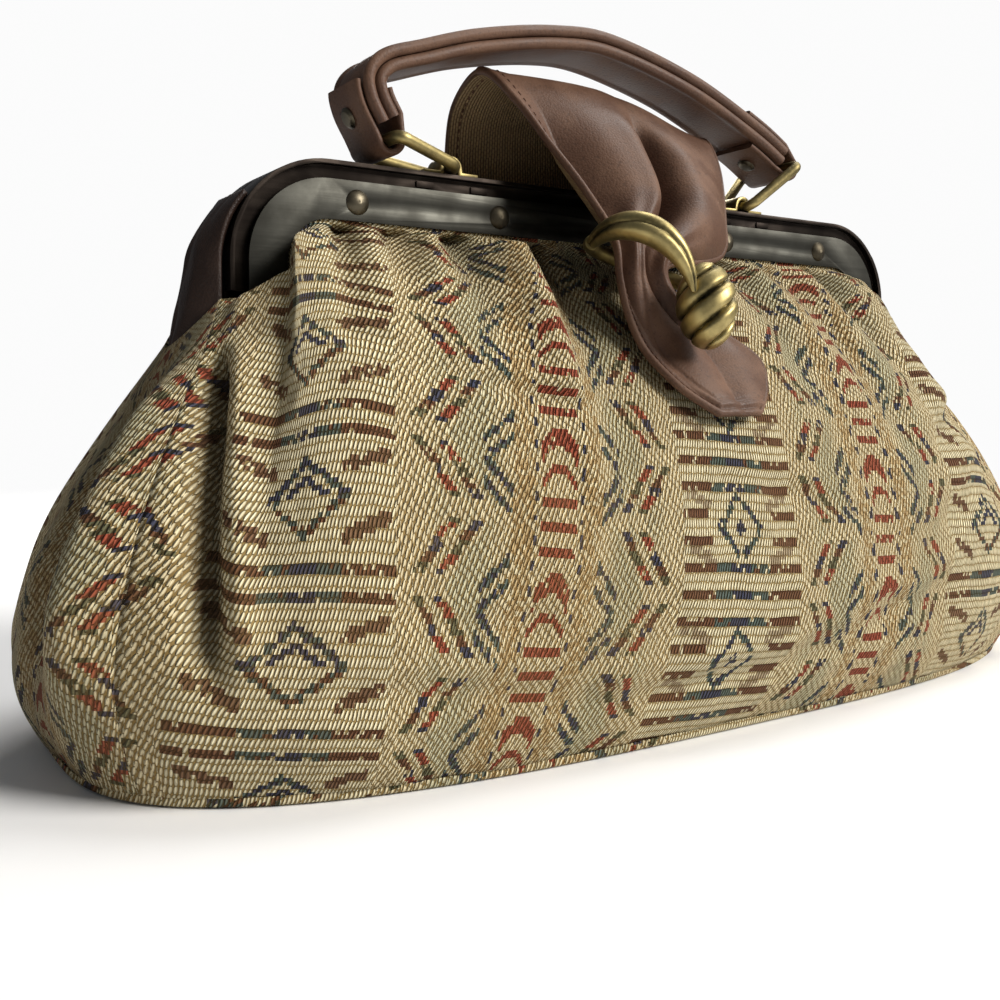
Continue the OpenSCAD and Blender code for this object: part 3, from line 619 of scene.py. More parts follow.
def lay(name, cols, rows, place, material, size=(1, 1), weld=False, cap=False, flip=False,
        shown=None, wear_and_shade=None):
    bm = bmesh.new()
    bmesh.ops.create_grid(bm, x_segments=cols, y_segments=rows, size=1)
    uv = bm.loops.layers.uv.new("cloth")
    # The edge attribute holds wear on metal, and the amount of painted shade on cloth.
    rub_and_shade_layer = bm.verts.layers.float.new("edge") if wear_and_shade else None
    spots = {}
    for vert in bm.verts:
        a, b = (vert.co.x + 1)/2, (1 - vert.co.y)/2
        spots[vert] = (a, b)
        vert.co = Vector(place(a, b))*MM
        if wear_and_shade:
            vert[rub_and_shade_layer] = wear_and_shade(a, b)
    for face in bm.faces:
        for loop in face.loops:
            a, b = spots[loop.vert]
            loop[uv].uv = shown(a, b) if shown else (a*size[0]*MM, (1 - b)*size[1]*MM)
    if weld:
        bmesh.ops.remove_doubles(bm, verts=bm.verts, dist=WELD_GAP)
    if cap:
        rim = [e for e in bm.edges if e.is_boundary]
        bmesh.ops.holes_fill(bm, edges=rim, sides=0)
    if weld:
        bmesh.ops.recalc_face_normals(bm, faces=bm.faces)
    if flip:
        bmesh.ops.reverse_faces(bm, faces=bm.faces)
    return finish_piece(bm, name, material)


def thicken(piece, thickness, inner=None):
    shell = piece.modifiers.new("thickness", "SOLIDIFY")
    shell.thickness = thickness*MM
    shell.offset = -1
    shell.use_quality_normals = True
    if inner:
        piece.data.materials.append(inner)
        shell.material_offset = 1
    bpy.context.view_layer.objects.active = piece
    bpy.ops.object.modifier_apply(modifier=shell.name)
    print(piece.name, "has", len(piece.data.polygons), "faces")


def dress(piece, body, slot, *nodes):
    if body:
        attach(piece, body)
    if nodes:
        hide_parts(*nodes)


print("surface helpers ready")

# %% [markdown]
# ## The tapestry panels
# The front panel hangs from the clamped edge of the frame, bellies out and tucks under at the floor.
# A spot on it has two numbers: s runs from -1 at the left seam to 1 at the right, and t from 0 at the
# frame to 1 at the floor. Its line from the frame to the floor is one cubic curve, and the gathers are
# ridges that fade as they run down. The frame squeezes the cloth to three quarters of its width, so
# smaller puckers stand between the large ones, and soft noise gives the drag lines of heavy cloth.

# %% Cloth sizes and edges
# The floor: half length, half depth and thickness, in mm, and how the cloth swells and rises from it
BASE_L, BASE_D, FLOOR_T = 172.0, 73.0, 2.4
SWELL, FOOT_RISE = 28.0, Vector((0, 0, 46))
# The frame: half width, top, corner radius, foot, and the depth of its two halves
HALF_W, FRAME_TOP, CORNER_R, FOOT_Z = 128.0, 156.0, 28.0, 120.0
FRONT_D, BACK_D = 12.6, 9.4
# How far in from the frame's outline the plate ends, the cloth is clamped and the cloth comes out
PLATE_IN, CLAMP_IN = 15.7, 13.0
CLOTH_IN = PLATE_IN + 0.7
# The seams between the panels and the ends, and the gore's bulge and drop
SEAM_X = 0.94*BASE_L
SEAM_TOP = (HALF_W + 3.4, 1.3, FOOT_Z - 2.5)
GORE_OUT, GORE_DROP = 11.4, 12.0
# Where the clamped edge's straight part, corner and leg end, from 0 in the middle to 1 at the seam
STRAIGHT, CORNER, LEG = 0.68, 0.81, 0.88
# The cloth's thickness, and how far it reaches under the plate as a share of its height
CLOTH_T, UNDER_PLATE = 1.0, 0.03


def base_y(x):
    return BASE_D*max(0.0, 1 - abs(x/BASE_L)**3)**(1/3)


def base_x(y):
    return BASE_L*max(0.0, 1 - abs(y/BASE_D)**3)**(1/3)


def base_out(x, y):
    return Vector((x*abs(x)/BASE_L**3, y*abs(y)/BASE_D**3, 0)).normalized()


def bend(a, b, c, d, t):
    k = 1 - t
    return a*k**3 + b*(3*k*k*t) + c*(3*k*t*t) + d*t**3


def clamp_line(a, inset):
    run, r, top = HALF_W - CORNER_R, CORNER_R - inset, FRAME_TOP - inset
    if a <= STRAIGHT:
        return run*a/STRAIGHT, top
    if a <= CORNER:
        g = math.radians(90*(a - STRAIGHT)/(CORNER - STRAIGHT))
        return run + r*math.sin(g), top - r + r*math.cos(g)
    return run + r, mix(top - r, FOOT_Z - 0.6, (min(a, LEG) - CORNER)/(LEG - CORNER))


def cloth_edge(s, depth, inset):
    x, z = clamp_line(abs(s), inset)
    held = Vector((math.copysign(x, s), -(depth - 1.05), z))
    seam = Vector((math.copysign(SEAM_TOP[0], s), -depth - SEAM_TOP[1], SEAM_TOP[2]))
    return held.lerp(seam, max(0.0, (abs(s) - LEG)/(1 - LEG)))


print("floor outline", 2*BASE_L, "by", 2*BASE_D, "mm")

# %% Gathers and creases
# Gathers: place at the frame, place lower down, half width, height, reach down the cloth, grip
front_folds = [
    (-0.80, -0.84, 0.09, 5.0, 0.55, 9), (-0.655, -0.76, 0.026, -8.0, 0.36, 14),
    (-0.605, -0.64, 0.030, 4.0, 0.40, 10), (-0.56, -0.58, 0.040, -6.5, 0.26, 9),
    (-0.49, -0.56, 0.030, 5.0, 0.36, 9), (-0.41, -0.46, 0.032, -10.0, 0.36, 12),
    (-0.32, -0.35, 0.042, 13.0, 0.66, 12), (-0.215, -0.28, 0.038, -9.0, 0.46, 10),
    (-0.01, -0.01, 0.15, -9.0, 0.50, 5), (0.20, 0.24, 0.035, 5.0, 0.45, 9),
    (0.29, 0.36, 0.028, -5.5, 0.42, 9), (0.36, 0.46, 0.03, 4.0, 0.5, 9),
    (0.43, 0.58, 0.030, -4.5, 0.60, 9), (0.50, 0.66, 0.045, 5.5, 0.65, 9),
    (0.58, 0.76, 0.026, -5.0, 0.55, 9), (0.66, 0.84, 0.05, 5.0, 0.55, 9)]
back_folds = [(x, 1.04*x, 0.08, 3.5, 0.5, 5) for x in (-0.6, -0.3, 0.0, 0.3, 0.6)]
back_folds += [(x, 1.04*x, 0.03, -3.0, 0.4, 8) for x in (-0.74, -0.43, -0.16, 0.17, 0.44, 0.72)]
# Creases low on the cloth: place across, place down, half width, half height, depth, lean
sags = [
    (-0.60, 0.86, 0.20, 0.030, -2.2, 0.10), (-0.15, 0.90, 0.30, 0.026, -2.4, -0.06),
    (0.35, 0.83, 0.22, 0.030, -2.4, -0.14), (0.62, 0.66, 0.16, 0.035, -2.2, -0.35),
    (-0.42, 0.42, 0.16, 0.020, -1.6, 0.25), (0.75, 0.45, 0.12, 0.03, -2.6, -0.6),
    (-0.72, 0.30, 0.12, 0.018, -1.5, 0.35), (0.10, 0.60, 0.14, 0.022, -1.3, 0.2)]


def fade_down(q, grip):
    return 0.0 if q >= 1 else ease(grip*q)*(1 - q)


def fold_height(folds, s, t):
    return sum(high*bell(s - mix(top, low, t), half)*fade_down(t/reach, grip)
               for top, low, half, high, reach, grip in folds)


def end_crease(s, t):
    """A deep upright crease that sets the rounded left corner off from the front."""
    hold = ease((t - 0.16)/0.12)*ease((0.84 - t)/0.16)
    return (-10*bell(s + 1 - 0.11*t, 0.017) + 3.5*bell(s + 0.965 - 0.11*t, 0.02))*hold


def sag_height(s, t):
    total = 0.0
    for at, down, half, tall, depth, lean in sags:
        k = (t - down - lean*(s - at))/tall
        total += depth*bell(s - at, half)*(bell(k, 1) - 0.6*bell(k + 2, 1))
    return total


def wrinkles(s, t, seed):
    pucker = math.sin(62*s + 5*noise.noise((4*s, 2*t, seed)))*math.exp(-t/0.11)*ease(t/0.03)
    drag = noise.noise((6*s, 3.2*t, seed + 5.0))*ease(4*t)
    crease = (1 - 2*abs(noise.noise((8*s + 3*t, 9*t, seed + 9.0))))*ease(5*t)*ease(8*(1 - t))
    fine = noise.noise((26*s, 18*t, seed + 2.0))*ease(8*t)
    return 1.6*pucker + 1.8*drag + 0.8*crease + 0.35*fine


def slump(s, t):
    """A low roll where the heavy cloth settles; the end panels meet it at their seams."""
    return 1.6*math.sin(math.radians(400*s + 60))*bell(t - 0.8, 0.12)*ease(3*t)


print("gathers:", len(front_folds), "in front and", len(back_folds), "behind")


# %% Panel surface
def panel_point(s, t, folds, depth, seed):
    if t < 0:
        return cloth_edge(s, depth, mix(CLOTH_IN, CLAMP_IN, min(1.0, -t/UNDER_PLATE)))
    a = abs(s)**3
    to_seam = 1 - abs(s)
    x = SEAM_X*s
    top = cloth_edge(s, depth, CLOTH_IN)
    foot = Vector((x, -base_y(x), FLOOR_T))
    out = base_out(foot.x, foot.y)
    leave = Vector((math.copysign(8*a, s), -(26 - 16*a), -(18 + 4*a)))
    p = bend(top, top + leave, foot + out*SWELL + FOOT_RISE, foot, t)
    puff = (1.0 if s < 0 else 0.8)*bell(abs(s) - 0.86, 0.11)*ease(t/0.07)*bell(t, 0.24)
    p += Vector((math.copysign(3.0, s), -9.0, 11.0))*puff*ease(to_seam/0.04)
    shape = fold_height(folds, s, t) + slump(s, t) + end_crease(s, t)*ease(to_seam/0.02)
    shape += (wrinkles(s, t, seed) + sag_height(s, t))*ease(to_seam/0.06)
    return p + out*shape


# The flat cloth: half width, height, what its corners lose in height, and the pattern's climb
CLOTH_HALF, CLOTH_HIGH, CORNER_LOSS, PATTERN_CLIMB = 170, 163.8, 33, 13.7


def panel_uv(s, t):
    high = CLOTH_HIGH - CORNER_LOSS*abs(s)**3
    skew = mix(0.07, 0.28, ease((s + 0.85)/0.5))
    return CLOTH_HALF*(s + skew*(t - 0.65))*MM, ((1 - t)*high + PATTERN_CLIMB*s)*MM


def panel_spot(a, b):
    return 2*a - 1, (1 + UNDER_PLATE)*b - UNDER_PLATE


print("front middle, half way down:", panel_point(0, 0.5, front_folds, FRONT_D, 1.0))


# %% Front and back panels
# The front shows its inner face when the frame opens, so it is woven on both faces
def panel(name, folds, depth, seed, cols, rows, back=False):
    way = -1 if back else 1

    def place(a, b):
        p = panel_point(*panel_spot(a, b), folds, depth, seed)
        return p.x, p.y*way, p.z

    def shown(a, b):
        s, t = panel_spot(a, b)
        return panel_uv(s*way, t)

    # Painted shade: the deeper a fold or the end crease sinks, the darker the cloth is painted there.
    def painted_shade_amount(a, b):
        s, t = panel_spot(a, b)
        return clip(-(fold_height(folds, s, t) + end_crease(s, t))/9.0)

    return lay(name, cols, rows, place, tapestry, flip=back, shown=shown, wear_and_shade=painted_shade_amount)


front_cloth = panel("front_cloth", front_folds, FRONT_D, 1.0, 260, 130)
thicken(front_cloth, CLOTH_T)
dress(front_cloth, None, "tapestry", "front_panel")
back_cloth = panel("back_cloth", back_folds, BACK_D, 7.0, 180, 100, back=True)
thicken(back_cloth, CLOTH_T, ribbed_lining)
dress(back_cloth, "bag", "tapestry", "back_panel")

# %% [markdown]
# ## End gussets and the floor of the bag
# Each end is a narrow panel that closes the space below the hinge. The front and back seams pull it
# in, so its front corner bulges while its slack middle sinks. A spot on it has w from -1 at the front
# seam to 1 at the back seam, and t as on the panels. The floor panel is flat, with the bag's rounded
# outline.

# %% Gussets
# The flat end panel's half width and height
END_HALF, END_HIGH = 46, 131


def gusset_point(w, t, seed, way):
    m = 1 - w*w
    y = base_y(SEAM_X)*w
    depth = FRONT_D if w < 0 else BACK_D
    top = Vector((SEAM_TOP[0] + (GORE_OUT - 1.3)*m, w*(SEAM_TOP[1] + depth), SEAM_TOP[2] - GORE_DROP*m))
    foot = Vector((base_x(y), y, FLOOR_T))
    out = base_out(foot.x, y)
    leave = Vector((8 + 6*m, 10*w, -(22 + 4*m)))
    p = bend(top, top + leave, foot + out*SWELL + FOOT_RISE, foot, t)
    fold = 2.2*noise.noise((2.2*w, 2.4*t, seed))*m
    fold += 0.7*(1 - 2*abs(noise.noise((3*w, 5*t, seed + 3))))*m
    hollow = 6.5*bell(w + 0.78, 0.15) - 10*bell(w + 0.24, 0.28) - 4*bell(w - 0.45, 0.3)
    fold += hollow*ease(t/0.3)*ease((0.95 - t)/0.3)
    return p + out*(slump(way, t)*w*w + fold*ease(3*t)*ease((1 - abs(w))/0.08))


def gusset(name, way, seed, node):
    def place(a, b):
        p = gusset_point(2*a - 1, b, seed, way)
        return p.x*way, p.y, p.z

    def shown(a, b):
        across = way*(CLOTH_HALF + 2*a*END_HALF)
        return across*MM, ((1 - b)*END_HIGH + PATTERN_CLIMB*way)*MM

    # Painted shade: the middle and back of each end panel, below its top, is painted darker, so the end
    # looks shaded.
    def painted_shade_amount(a, b):
        return 0.55*bell(2*a - 0.85, 0.62)*ease(b/0.2)

    piece = lay(name, 60, 110, place, tapestry, flip=way < 0, shown=shown, wear_and_shade=painted_shade_amount)
    thicken(piece, CLOTH_T)
    dress(piece, None, "tapestry", node)
    return piece


left_end = gusset("left_end_cloth", -1, 2.0, "left_gusset")
right_end = gusset("right_end_cloth", 1, 4.0, "right_gusset")


# %% Floor panel
def round_edges(bm, edges, radius, segments, clamp=False):
    return bmesh.ops.bevel(bm, geom=edges, offset=radius*MM, offset_type="OFFSET", affect="EDGES",
                           segments=segments, profile=0.5, material=-1, clamp_overlap=clamp)


bm = bmesh.new()
bmesh.ops.create_circle(bm, cap_ends=True, segments=144, radius=1)
for vert in bm.verts:
    x, y = (math.copysign(abs(k)**(2/3), k) for k in vert.co.xy)
    vert.co = Vector((BASE_L*x, BASE_D*y, 0))*MM
lifted = bmesh.ops.extrude_face_region(bm, geom=bm.faces[:])
bmesh.ops.translate(bm, verts=[v for v in lifted["geom"] if isinstance(v, bmesh.types.BMVert)],
                    vec=(0, 0, FLOOR_T*MM))
bmesh.ops.recalc_face_normals(bm, faces=bm.faces)
low_rim = [e for e in bm.edges if all(v.co.z < 0.1*MM for v in e.verts)]
round_edges(bm, low_rim, 1.2, 3)
uv = bm.loops.layers.uv.new("cloth")
for face in bm.faces:
    for loop in face.loops:
        loop[uv].uv = (loop.vert.co.x, loop.vert.co.y + loop.vert.co.z)
bag_floor = finish_piece(bm, "bag_floor_cloth", tapestry)
dress(bag_floor, "bag", "tapestry", "base_panel")
print("floor panel laid")

# %% [markdown]
# ## Leather gores at the hinges
# Plain dark leather closes the gap beside each hinge. It is sewn to both halves of the frame, bulges
# outwards and creases down its middle.


# %% Gores
def frame_side(z):
    d = max(0.0, z - (FRAME_TOP - CORNER_R))
    return HALF_W - CORNER_R + math.sqrt(CORNER_R**2 - d*d)


def gore(name, way, seed, node):
    def place(a, b):
        u = 2*a - 1
        m = 1 - u*u
        z = mix(FRAME_TOP - 10, SEAM_TOP[2] - GORE_DROP*m - 1.5, b)
        crease = 0.7*noise.noise((3*u, 4*b, seed)) - 1.2*bell(u, 0.16)*b
        x = frame_side(z) + 2.1 + GORE_OUT*m*b**0.9 + crease*m
        return x*way, u*((FRONT_D if u < 0 else BACK_D) - 1.4), z

    piece = lay(name, 40, 50, place, dark_leather, flip=way < 0)
    thicken(piece, 1.5)
    dress(piece, None, "dark_leather", node)
    return piece


left_gore = gore("left_gore_leather", -1, 1.0, "left_hinge_gore")
right_gore = gore("right_gore_leather", 1, 5.0, "right_hinge_gore")

# %% [markdown]
# ## Frame, plates and fasteners
# The metal parts have the right shape in the CAD already, but their edges are perfectly sharp, and
# a sharp edge never catches the light. So each one is copied, its loose triangles are merged into
# clean faces, and the corners are rounded with a small bevel. The bevel faces get the edge
# attribute, so the metal is bright there.

# %% Round the metal edges
MERGE_GAP, FLAT, SHARP = 2e-6, math.radians(0.6), math.radians(35)


def polish(name, node, material, radius, body, slot):
    bm = bmesh.new()
    bm.from_mesh(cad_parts[node].data)
    bmesh.ops.remove_doubles(bm, verts=bm.verts, dist=MERGE_GAP)
    bmesh.ops.dissolve_limit(bm, angle_limit=FLAT, verts=bm.verts, edges=bm.edges)
    rub_and_shade_layer = bm.faces.layers.float.new("edge")
    sharp = [e for e in bm.edges if len(e.link_faces) == 2 and e.calc_face_angle(0) > SHARP]
    for face in round_edges(bm, sharp, radius, 2, clamp=True)["faces"]:
        face[rub_and_shade_layer] = 1.0
    piece = finish_piece(bm, name, material)
    dress(piece, body, slot, node)
    print(name, len(piece.data.polygons), "faces")


polish("front_channel_metal", "front_channel", dark_bronze, 0.35, "front_frame", "dark_bronze")
polish("back_channel_metal", "back_channel", dark_bronze, 0.35, "bag", "dark_bronze")
polish("front_plate_metal", "front_face_plate", pewter, 0.3, "front_frame", "pewter")
polish("back_plate_metal", "back_face_plate", pewter, 0.3, "bag", "pewter")
polish("front_rivet_heads", "front_rivets", rivet_metal, 0.2, "front_frame", "pewter")
polish("back_rivet_heads", "back_rivets", rivet_metal, 0.2, "bag", "pewter")
polish("left_hinge_metal", "left_hinge_pin", dark_bronze, 0.2, "bag", "dark_bronze")
polish("right_hinge_metal", "right_hinge_pin", dark_bronze, 0.2, "bag", "dark_bronze")
polish("left_saddle_metal", "left_saddle", antique_brass, 0.3, "front_frame", "antique_brass")
polish("right_saddle_metal", "right_saddle", antique_brass, 0.3, "front_frame", "antique_brass")
polish("handle_rivet_heads", "handle_rivets", rivet_metal, 0.2, "handle", "antique_brass")

# %% [markdown]
# ## Handle rings
# Each ring is a bent wire: narrow where it turns in its saddle, wide where the strap hangs on it.
# The route is four rounded corners, and a round section follows it.

# %% Wire rings
WIRE_R, RING_L, BEND = 1.75, 22.3, 3.2
LEFT_X, LEFT_TILT, RIGHT_X, RIGHT_TILT = 61.0, 12.5, 56.0, 40.5
ACROSS = Vector((0, 1, 0))
HANDLE_Y, BAR_Z = -(FRONT_D + 0.3)/2, FRAME_TOP + WIRE_R + 0.35
LOW_HALF, TOP_HALF = 4 + WIRE_R + 1.6, 11 + WIRE_R + 0.6


def wire_ring(name, x, tilt, way, body, node):
    up = Vector((math.cos(math.radians(tilt)), 0, math.sin(math.radians(tilt))))
    face = Vector((-up.z, 0, up.x))
    hub = Vector((x, HANDLE_Y, BAR_Z))
    corners = [hub - ACROSS*LOW_HALF, hub + ACROSS*LOW_HALF,
               hub + up*RING_L + ACROSS*TOP_HALF, hub + up*RING_L - ACROSS*TOP_HALF]
    route = []
    for i, c in enumerate(corners):
        following = corners[(i + 1) % 4]
        a = c + (corners[i - 1] - c).normalized()*BEND
        b = c + (following - c).normalized()*BEND
        straight_end = following + (c - following).normalized()*BEND
        route += [a.lerp(c, k/8).lerp(c.lerp(b, k/8), k/8) for k in range(9)]
        route += [b.lerp(straight_end, k/6) for k in range(1, 6)]
    count = len(route)

    def place(a, b):
        i = round(b*count) % count
        along = (route[(i + 1) % count] - route[i - 1]).normalized()
        side_way = face.cross(along)
        g = 2*math.pi*a
        p = route[i] + (face*math.cos(g) + side_way*math.sin(g))*WIRE_R
        return p.x*way, p.y, p.z

    piece = lay(name, 16, count, place, antique_brass, weld=True, wear_and_shade=lambda a, b: 0.35)
    dress(piece, body, "antique_brass", node)
    print(name, count, "stations")


wire_ring("left_ring_wire", LEFT_X, LEFT_TILT, -1, "left_ring", "left_handle_ring")
wire_ring("right_ring_wire", RIGHT_X, RIGHT_TILT, 1, "right_ring", "right_handle_ring")

# %% [markdown]
# ## Handle
# Two straps lie back to back along one kinked arch, and each has rolled edges with a shallow groove
# inside the roll. A leather loop at each end goes round the upper bar of the ring. The arch is worked
# out in the plane of the frame, from stations that start and end at the bars.


# %% Straps
def bar_spot(x, tilt, way):
    angle = math.radians(tilt)
    return Vector((way*(x + RING_L*math.cos(angle)), BAR_Z + RING_L*math.sin(angle)))


LEFT_BAR, RIGHT_BAR = bar_spot(LEFT_X, LEFT_TILT, -1), bar_spot(RIGHT_X, RIGHT_TILT, 1)
left_rise = ((-1.2, 4.8), (-4.4, 10.6), (-5, 15.8), (-0.8, 20.4), (9.5, 24.2))
handle_route = [LEFT_BAR + Vector(k) for k in left_rise]
handle_route += [Vector(k) for k in ((-54, 193.5), (-27.5, 199), (-6, 199.8), (26.5, 193.2))]
handle_route += [RIGHT_BAR + Vector(k) for k in ((-17, 9.6), (-4, 3.2))]
STRAP_W, STRAP_T, LOOP_T = 22.0, 3.4, 1.8


def beside(q, off):
    a, b = (Vector(through(handle_route, k)) for k in (max(q - 0.004, 0), min(q + 0.004, 1)))
    d = (b - a).normalized()
    return Vector(through(handle_route, q)) + Vector((-d.y, d.x))*off


# One side of the strap's section: distance across its width and half thickness there
strap_section = [(-11, 0), (-10.9, 0.6), (-10.5, 1.2), (-9.8, 1.6), (-9.2, 1.68), (-8.5, 1.6), (-7.8, 1.3),
                 (-7.2, 1.16), (-6.4, 1.24), (-4, 1.42), (0, 1.5)]
strap_section += [(-y, h) for y, h in reversed(strap_section[:-1])]
strap_loop = strap_section[:-1] + [(y, -h) for y, h in reversed(strap_section[1:])]


def strap(name, middle, seed, node):
    count = len(strap_loop)

    def place(a, b):
        y, h = strap_loop[round(a*count) % count]
        slack = 0.22*noise.noise((y*0.10, b*14, seed))*(1 - (2*y/STRAP_W)**2)
        e = beside(b, middle + h + slack)
        return e.x, HANDLE_Y + y, e.y

    piece = lay(name, count, 220, place, brown_leather, weld=True, cap=True)
    dress(piece, "handle", "brown_leather", node)
    print(name, len(piece.data.polygons), "faces")


strap("upper_strap_leather", STRAP_T/2 + 0.05, 1.0, "handle_outer_strap")
strap("lower_strap_leather", -STRAP_T/2 - 0.05, 6.0, "handle_inner_strap")


# %% Loops
def end_loop(name, bar, end, legs, node):
    off = STRAP_T + 0.35 + LOOP_T/2
    r = WIRE_R + 0.9 + LOOP_T/2
    up = (Vector(through(handle_route, end)) - bar).normalized()
    n = Vector((-up.y, up.x))*(-1 if end < 0.5 else 1)
    lead = beside(end, 1) - beside(end, 0)
    k = 1 if lead.dot(n) > 0 else -1
    route = [beside(mix(legs[0], end, i/16), off) for i in range(17)]
    route += [bar + n*(k*r*math.cos(math.pi*i/20)) - up*(r*math.sin(math.pi*i/20)) for i in range(21)]
    route += [beside(mix(end, legs[1], i/16), -off) for i in range(17)]
    last = len(route) - 1
    half = STRAP_W/2 - 1.8
    section = [(-half, 0.3), (-half + 0.4, 0.75), (-half + 1.2, 0.9), (0, 0.9), (half - 1.2, 0.9),
               (half - 0.4, 0.75), (half, 0.3)]
    section += [(y, -h) for y, h in reversed(section)]
    count = len(section)

    def place(a, b):
        i = round(b*last)
        y, h = section[round(a*count) % count]
        d = (route[min(i + 1, last)] - route[max(i - 1, 0)]).normalized()
        e = route[i] + Vector((-d.y, d.x))*h
        return e.x, HANDLE_Y + y, e.y

    piece = lay(name, count, last, place, brown_leather, weld=True, cap=True)
    dress(piece, "handle", "brown_leather", node)
    print(name, len(piece.data.polygons), "faces")


end_loop("left_loop_leather", LEFT_BAR, 0, (0.17, 0.13), "left_handle_loop")
end_loop("right_loop_leather", RIGHT_BAR, 1, (0.88, 0.9), "right_handle_loop")

# %% [markdown]
# ## Tongue
# The tongue is a wide flap, leather outside and ribbed cloth inside. It starts on the back plate,
# stands up under the handle, rolls forward and is gathered to a neck in the twisted ring before it
# opens again as a tail. The stations give its path, width, fall to the right and fold height; between
# them it is smooth. A fold made from the size of a cosine has a round top and a sharp valley, which is
# how leather creases. The tail's border has a pressed groove and a raised welt.

# %% Tongue
ROOT_Y, FACE = BACK_D + 0.9, -FRONT_D
TONGUE_W, TONGUE_L = 100, 190
# Stations: depth, height, middle, half width, fall to the right, fold height
tongue_route = [
    (ROOT_Y, FRAME_TOP - 14, 0, 50, 0, 0), (ROOT_Y, FRAME_TOP - 4, 0, 50, 0, 0),
    (ROOT_Y + 0.6, FRAME_TOP + 12, -0.5, 49.5, 1.5, 0), (ROOT_Y - 2.2, FRAME_TOP + 25.6, -1.5, 47.5, 5, 0.4),
    (FACE + 6.2, FRAME_TOP + 31.8, -4, 44.5, 9, 0.3), (FACE - 4.4, FRAME_TOP + 22, -2.5, 41, 10, 1.6),
    (FACE - 12.6, FRAME_TOP + 7, -1, 36.5, 10, 4.6), (FACE - 21, FRAME_TOP - 7.5, -3, 28, 6, 4.6),
    (FACE - 28.6, FRAME_TOP - 20, -15, 11, 0, 2.8), (FACE - 30.4, FRAME_TOP - 30.5, -15.5, 10.5, 0, 2),
    (FACE - 32.8, FRAME_TOP - 40.5, -9, 15.5, 0, 1.6), (FACE - 37.4, FRAME_TOP - 51, 0.5, 22.5, 0, 1.2),
    (FACE - 45.2, FRAME_TOP - 60.5, 1, 17.5, 0, 0.8), (FACE - 51.4, FRAME_TOP - 68, 1.5, 8, 0, 0)]
NECK = 8/13


def tongue_normal(v):
    a, b = through(tongue_route, v - 0.01), through(tongue_route, v + 0.01)
    d = Vector((b[0] - a[0], b[1] - a[1])).normalized()
    return Vector((0, d.y, -d.x))


def tongue_point(u, v, lift):
    w = clip(v + 0.03*u*bell(v - NECK, 0.1))
    k, p = through(tongue_route, v), through(tongue_route, w)
    fold = k[5]*(2*abs(math.cos(math.radians(200*(u + 0.35)))) - 1)
    deep = ease((v - 0.36)/0.08)*ease((0.62 - v)/0.08)
    fold += deep*(3.0*bell(u + 0.14, 0.15) - 5.0*bell(u - 0.12, 0.08) + 2.0*bell(u - 0.36, 0.16))
    pinch = 0.5*math.sin(19*u + 8*v)*bell(v - NECK, 0.06)
    soft = 0.5*noise.noise((2.2*u, 9*v, 4.0))*ease(6*(v - 0.2))
    spot = Vector((k[2] + k[3]*u, p[0], p[1] - k[4]*ease((u + 0.1)/1.1)))
    return spot + tongue_normal(w)*(fold + lift + (pinch + soft)*ease(5*(v - 0.15)))


def border(u, v):
    """The welt along the tail: a groove, a raised band and a groove."""
    edge = min(through(tongue_route, v)[3]*(1 + u), (1 - v)*150)
    welt = 0.7*bell(edge - 3.9, 1.1) - 0.5*bell(edge - 2.0, 0.5) - 0.4*bell(edge - 6.2, 0.6)
    return welt*ease((v - 0.64)/0.04)


def outside_place(a, b):
    return tongue_point(2*a - 1, b, 1.4 + border(2*a - 1, b))


def inside_place(a, b):
    return tongue_point(2*a - 1, b, -0.1)


def ribs_across(a, b):
    return b*TONGUE_L*MM, a*TONGUE_W*MM


def tongue_layer(name, place, thickness, material, slot, node, shown=None):
    piece = lay(name, 120, 260, place, material, size=(TONGUE_W, TONGUE_L), shown=shown)
    thicken(piece, thickness)
    dress(piece, None, slot, node)
    return piece


tongue_outside = tongue_layer("tongue_outside", outside_place, 1.3, brown_leather, "brown_leather",
                              "tongue_leather")
tongue_inside = tongue_layer("tongue_inside", inside_place, 0.7, ribbed_lining, "ribbed_lining",
                             "tongue_lining", ribs_across)

# %% [markdown]
# ## Edge binding and stitches
# The flap's edge is bound with a thin rolled strip from the top of its left side round the tail and up
# its right side. A row of stitches runs beside it. A stitch is a small stretched ball, turned to lie
# along the edge, and the stitches of a row are one piece.

# %% Edge binding
BOUND_FROM, SIDE, STEP = 0.30, 0.45, 0.001


def edge_spot(q):
    if q < SIDE:
        return -1.0, mix(BOUND_FROM, 1.0, q/SIDE)
    if q < 1 - SIDE:
        return mix(-1.0, 1.0, (q - SIDE)/(1 - 2*SIDE)), 1.0
    return 1.0, mix(1.0, BOUND_FROM, (q - 1 + SIDE)/SIDE)


def edge_point(q):
    return tongue_point(*edge_spot(q), 0.4)


def binding_place(a, b):
    q = min(1 - STEP, max(STEP, b))
    along = (edge_point(q + STEP) - edge_point(q - STEP)).normalized()
    side = along.cross(tongue_normal(edge_spot(q)[1])).normalized()
    h = 2*math.pi*a
    return edge_point(q) + side*(0.95*math.cos(h)) + along.cross(side)*(1.25*math.sin(h))


binding = lay("tongue_binding", 10, 420, binding_place, brown_leather, size=(6, 300), weld=True, cap=True)
dress(binding, None, "brown_leather")
print("binding", len(binding.data.polygons), "faces")

# %% Stitches
STITCH_SIZE = Matrix.Diagonal((0.32*MM, 0.32*MM, 0.85*MM, 1))


def stitch_row(name, spots, lift):
    bm = bmesh.new()
    for u, v in spots:
        mid, ahead = tongue_point(u, v, lift), tongue_point(u, v + 0.004, lift)
        turn = (ahead - mid).to_track_quat("Z", "Y").to_matrix().to_4x4()
        laid = Matrix.Translation(mid*MM) @ turn @ STITCH_SIZE
        bmesh.ops.create_icosphere(bm, subdivisions=1, radius=1, matrix=laid)
    piece = finish_piece(bm, name, thread_brown)
    print(name, len(spots), "stitches")
    return piece


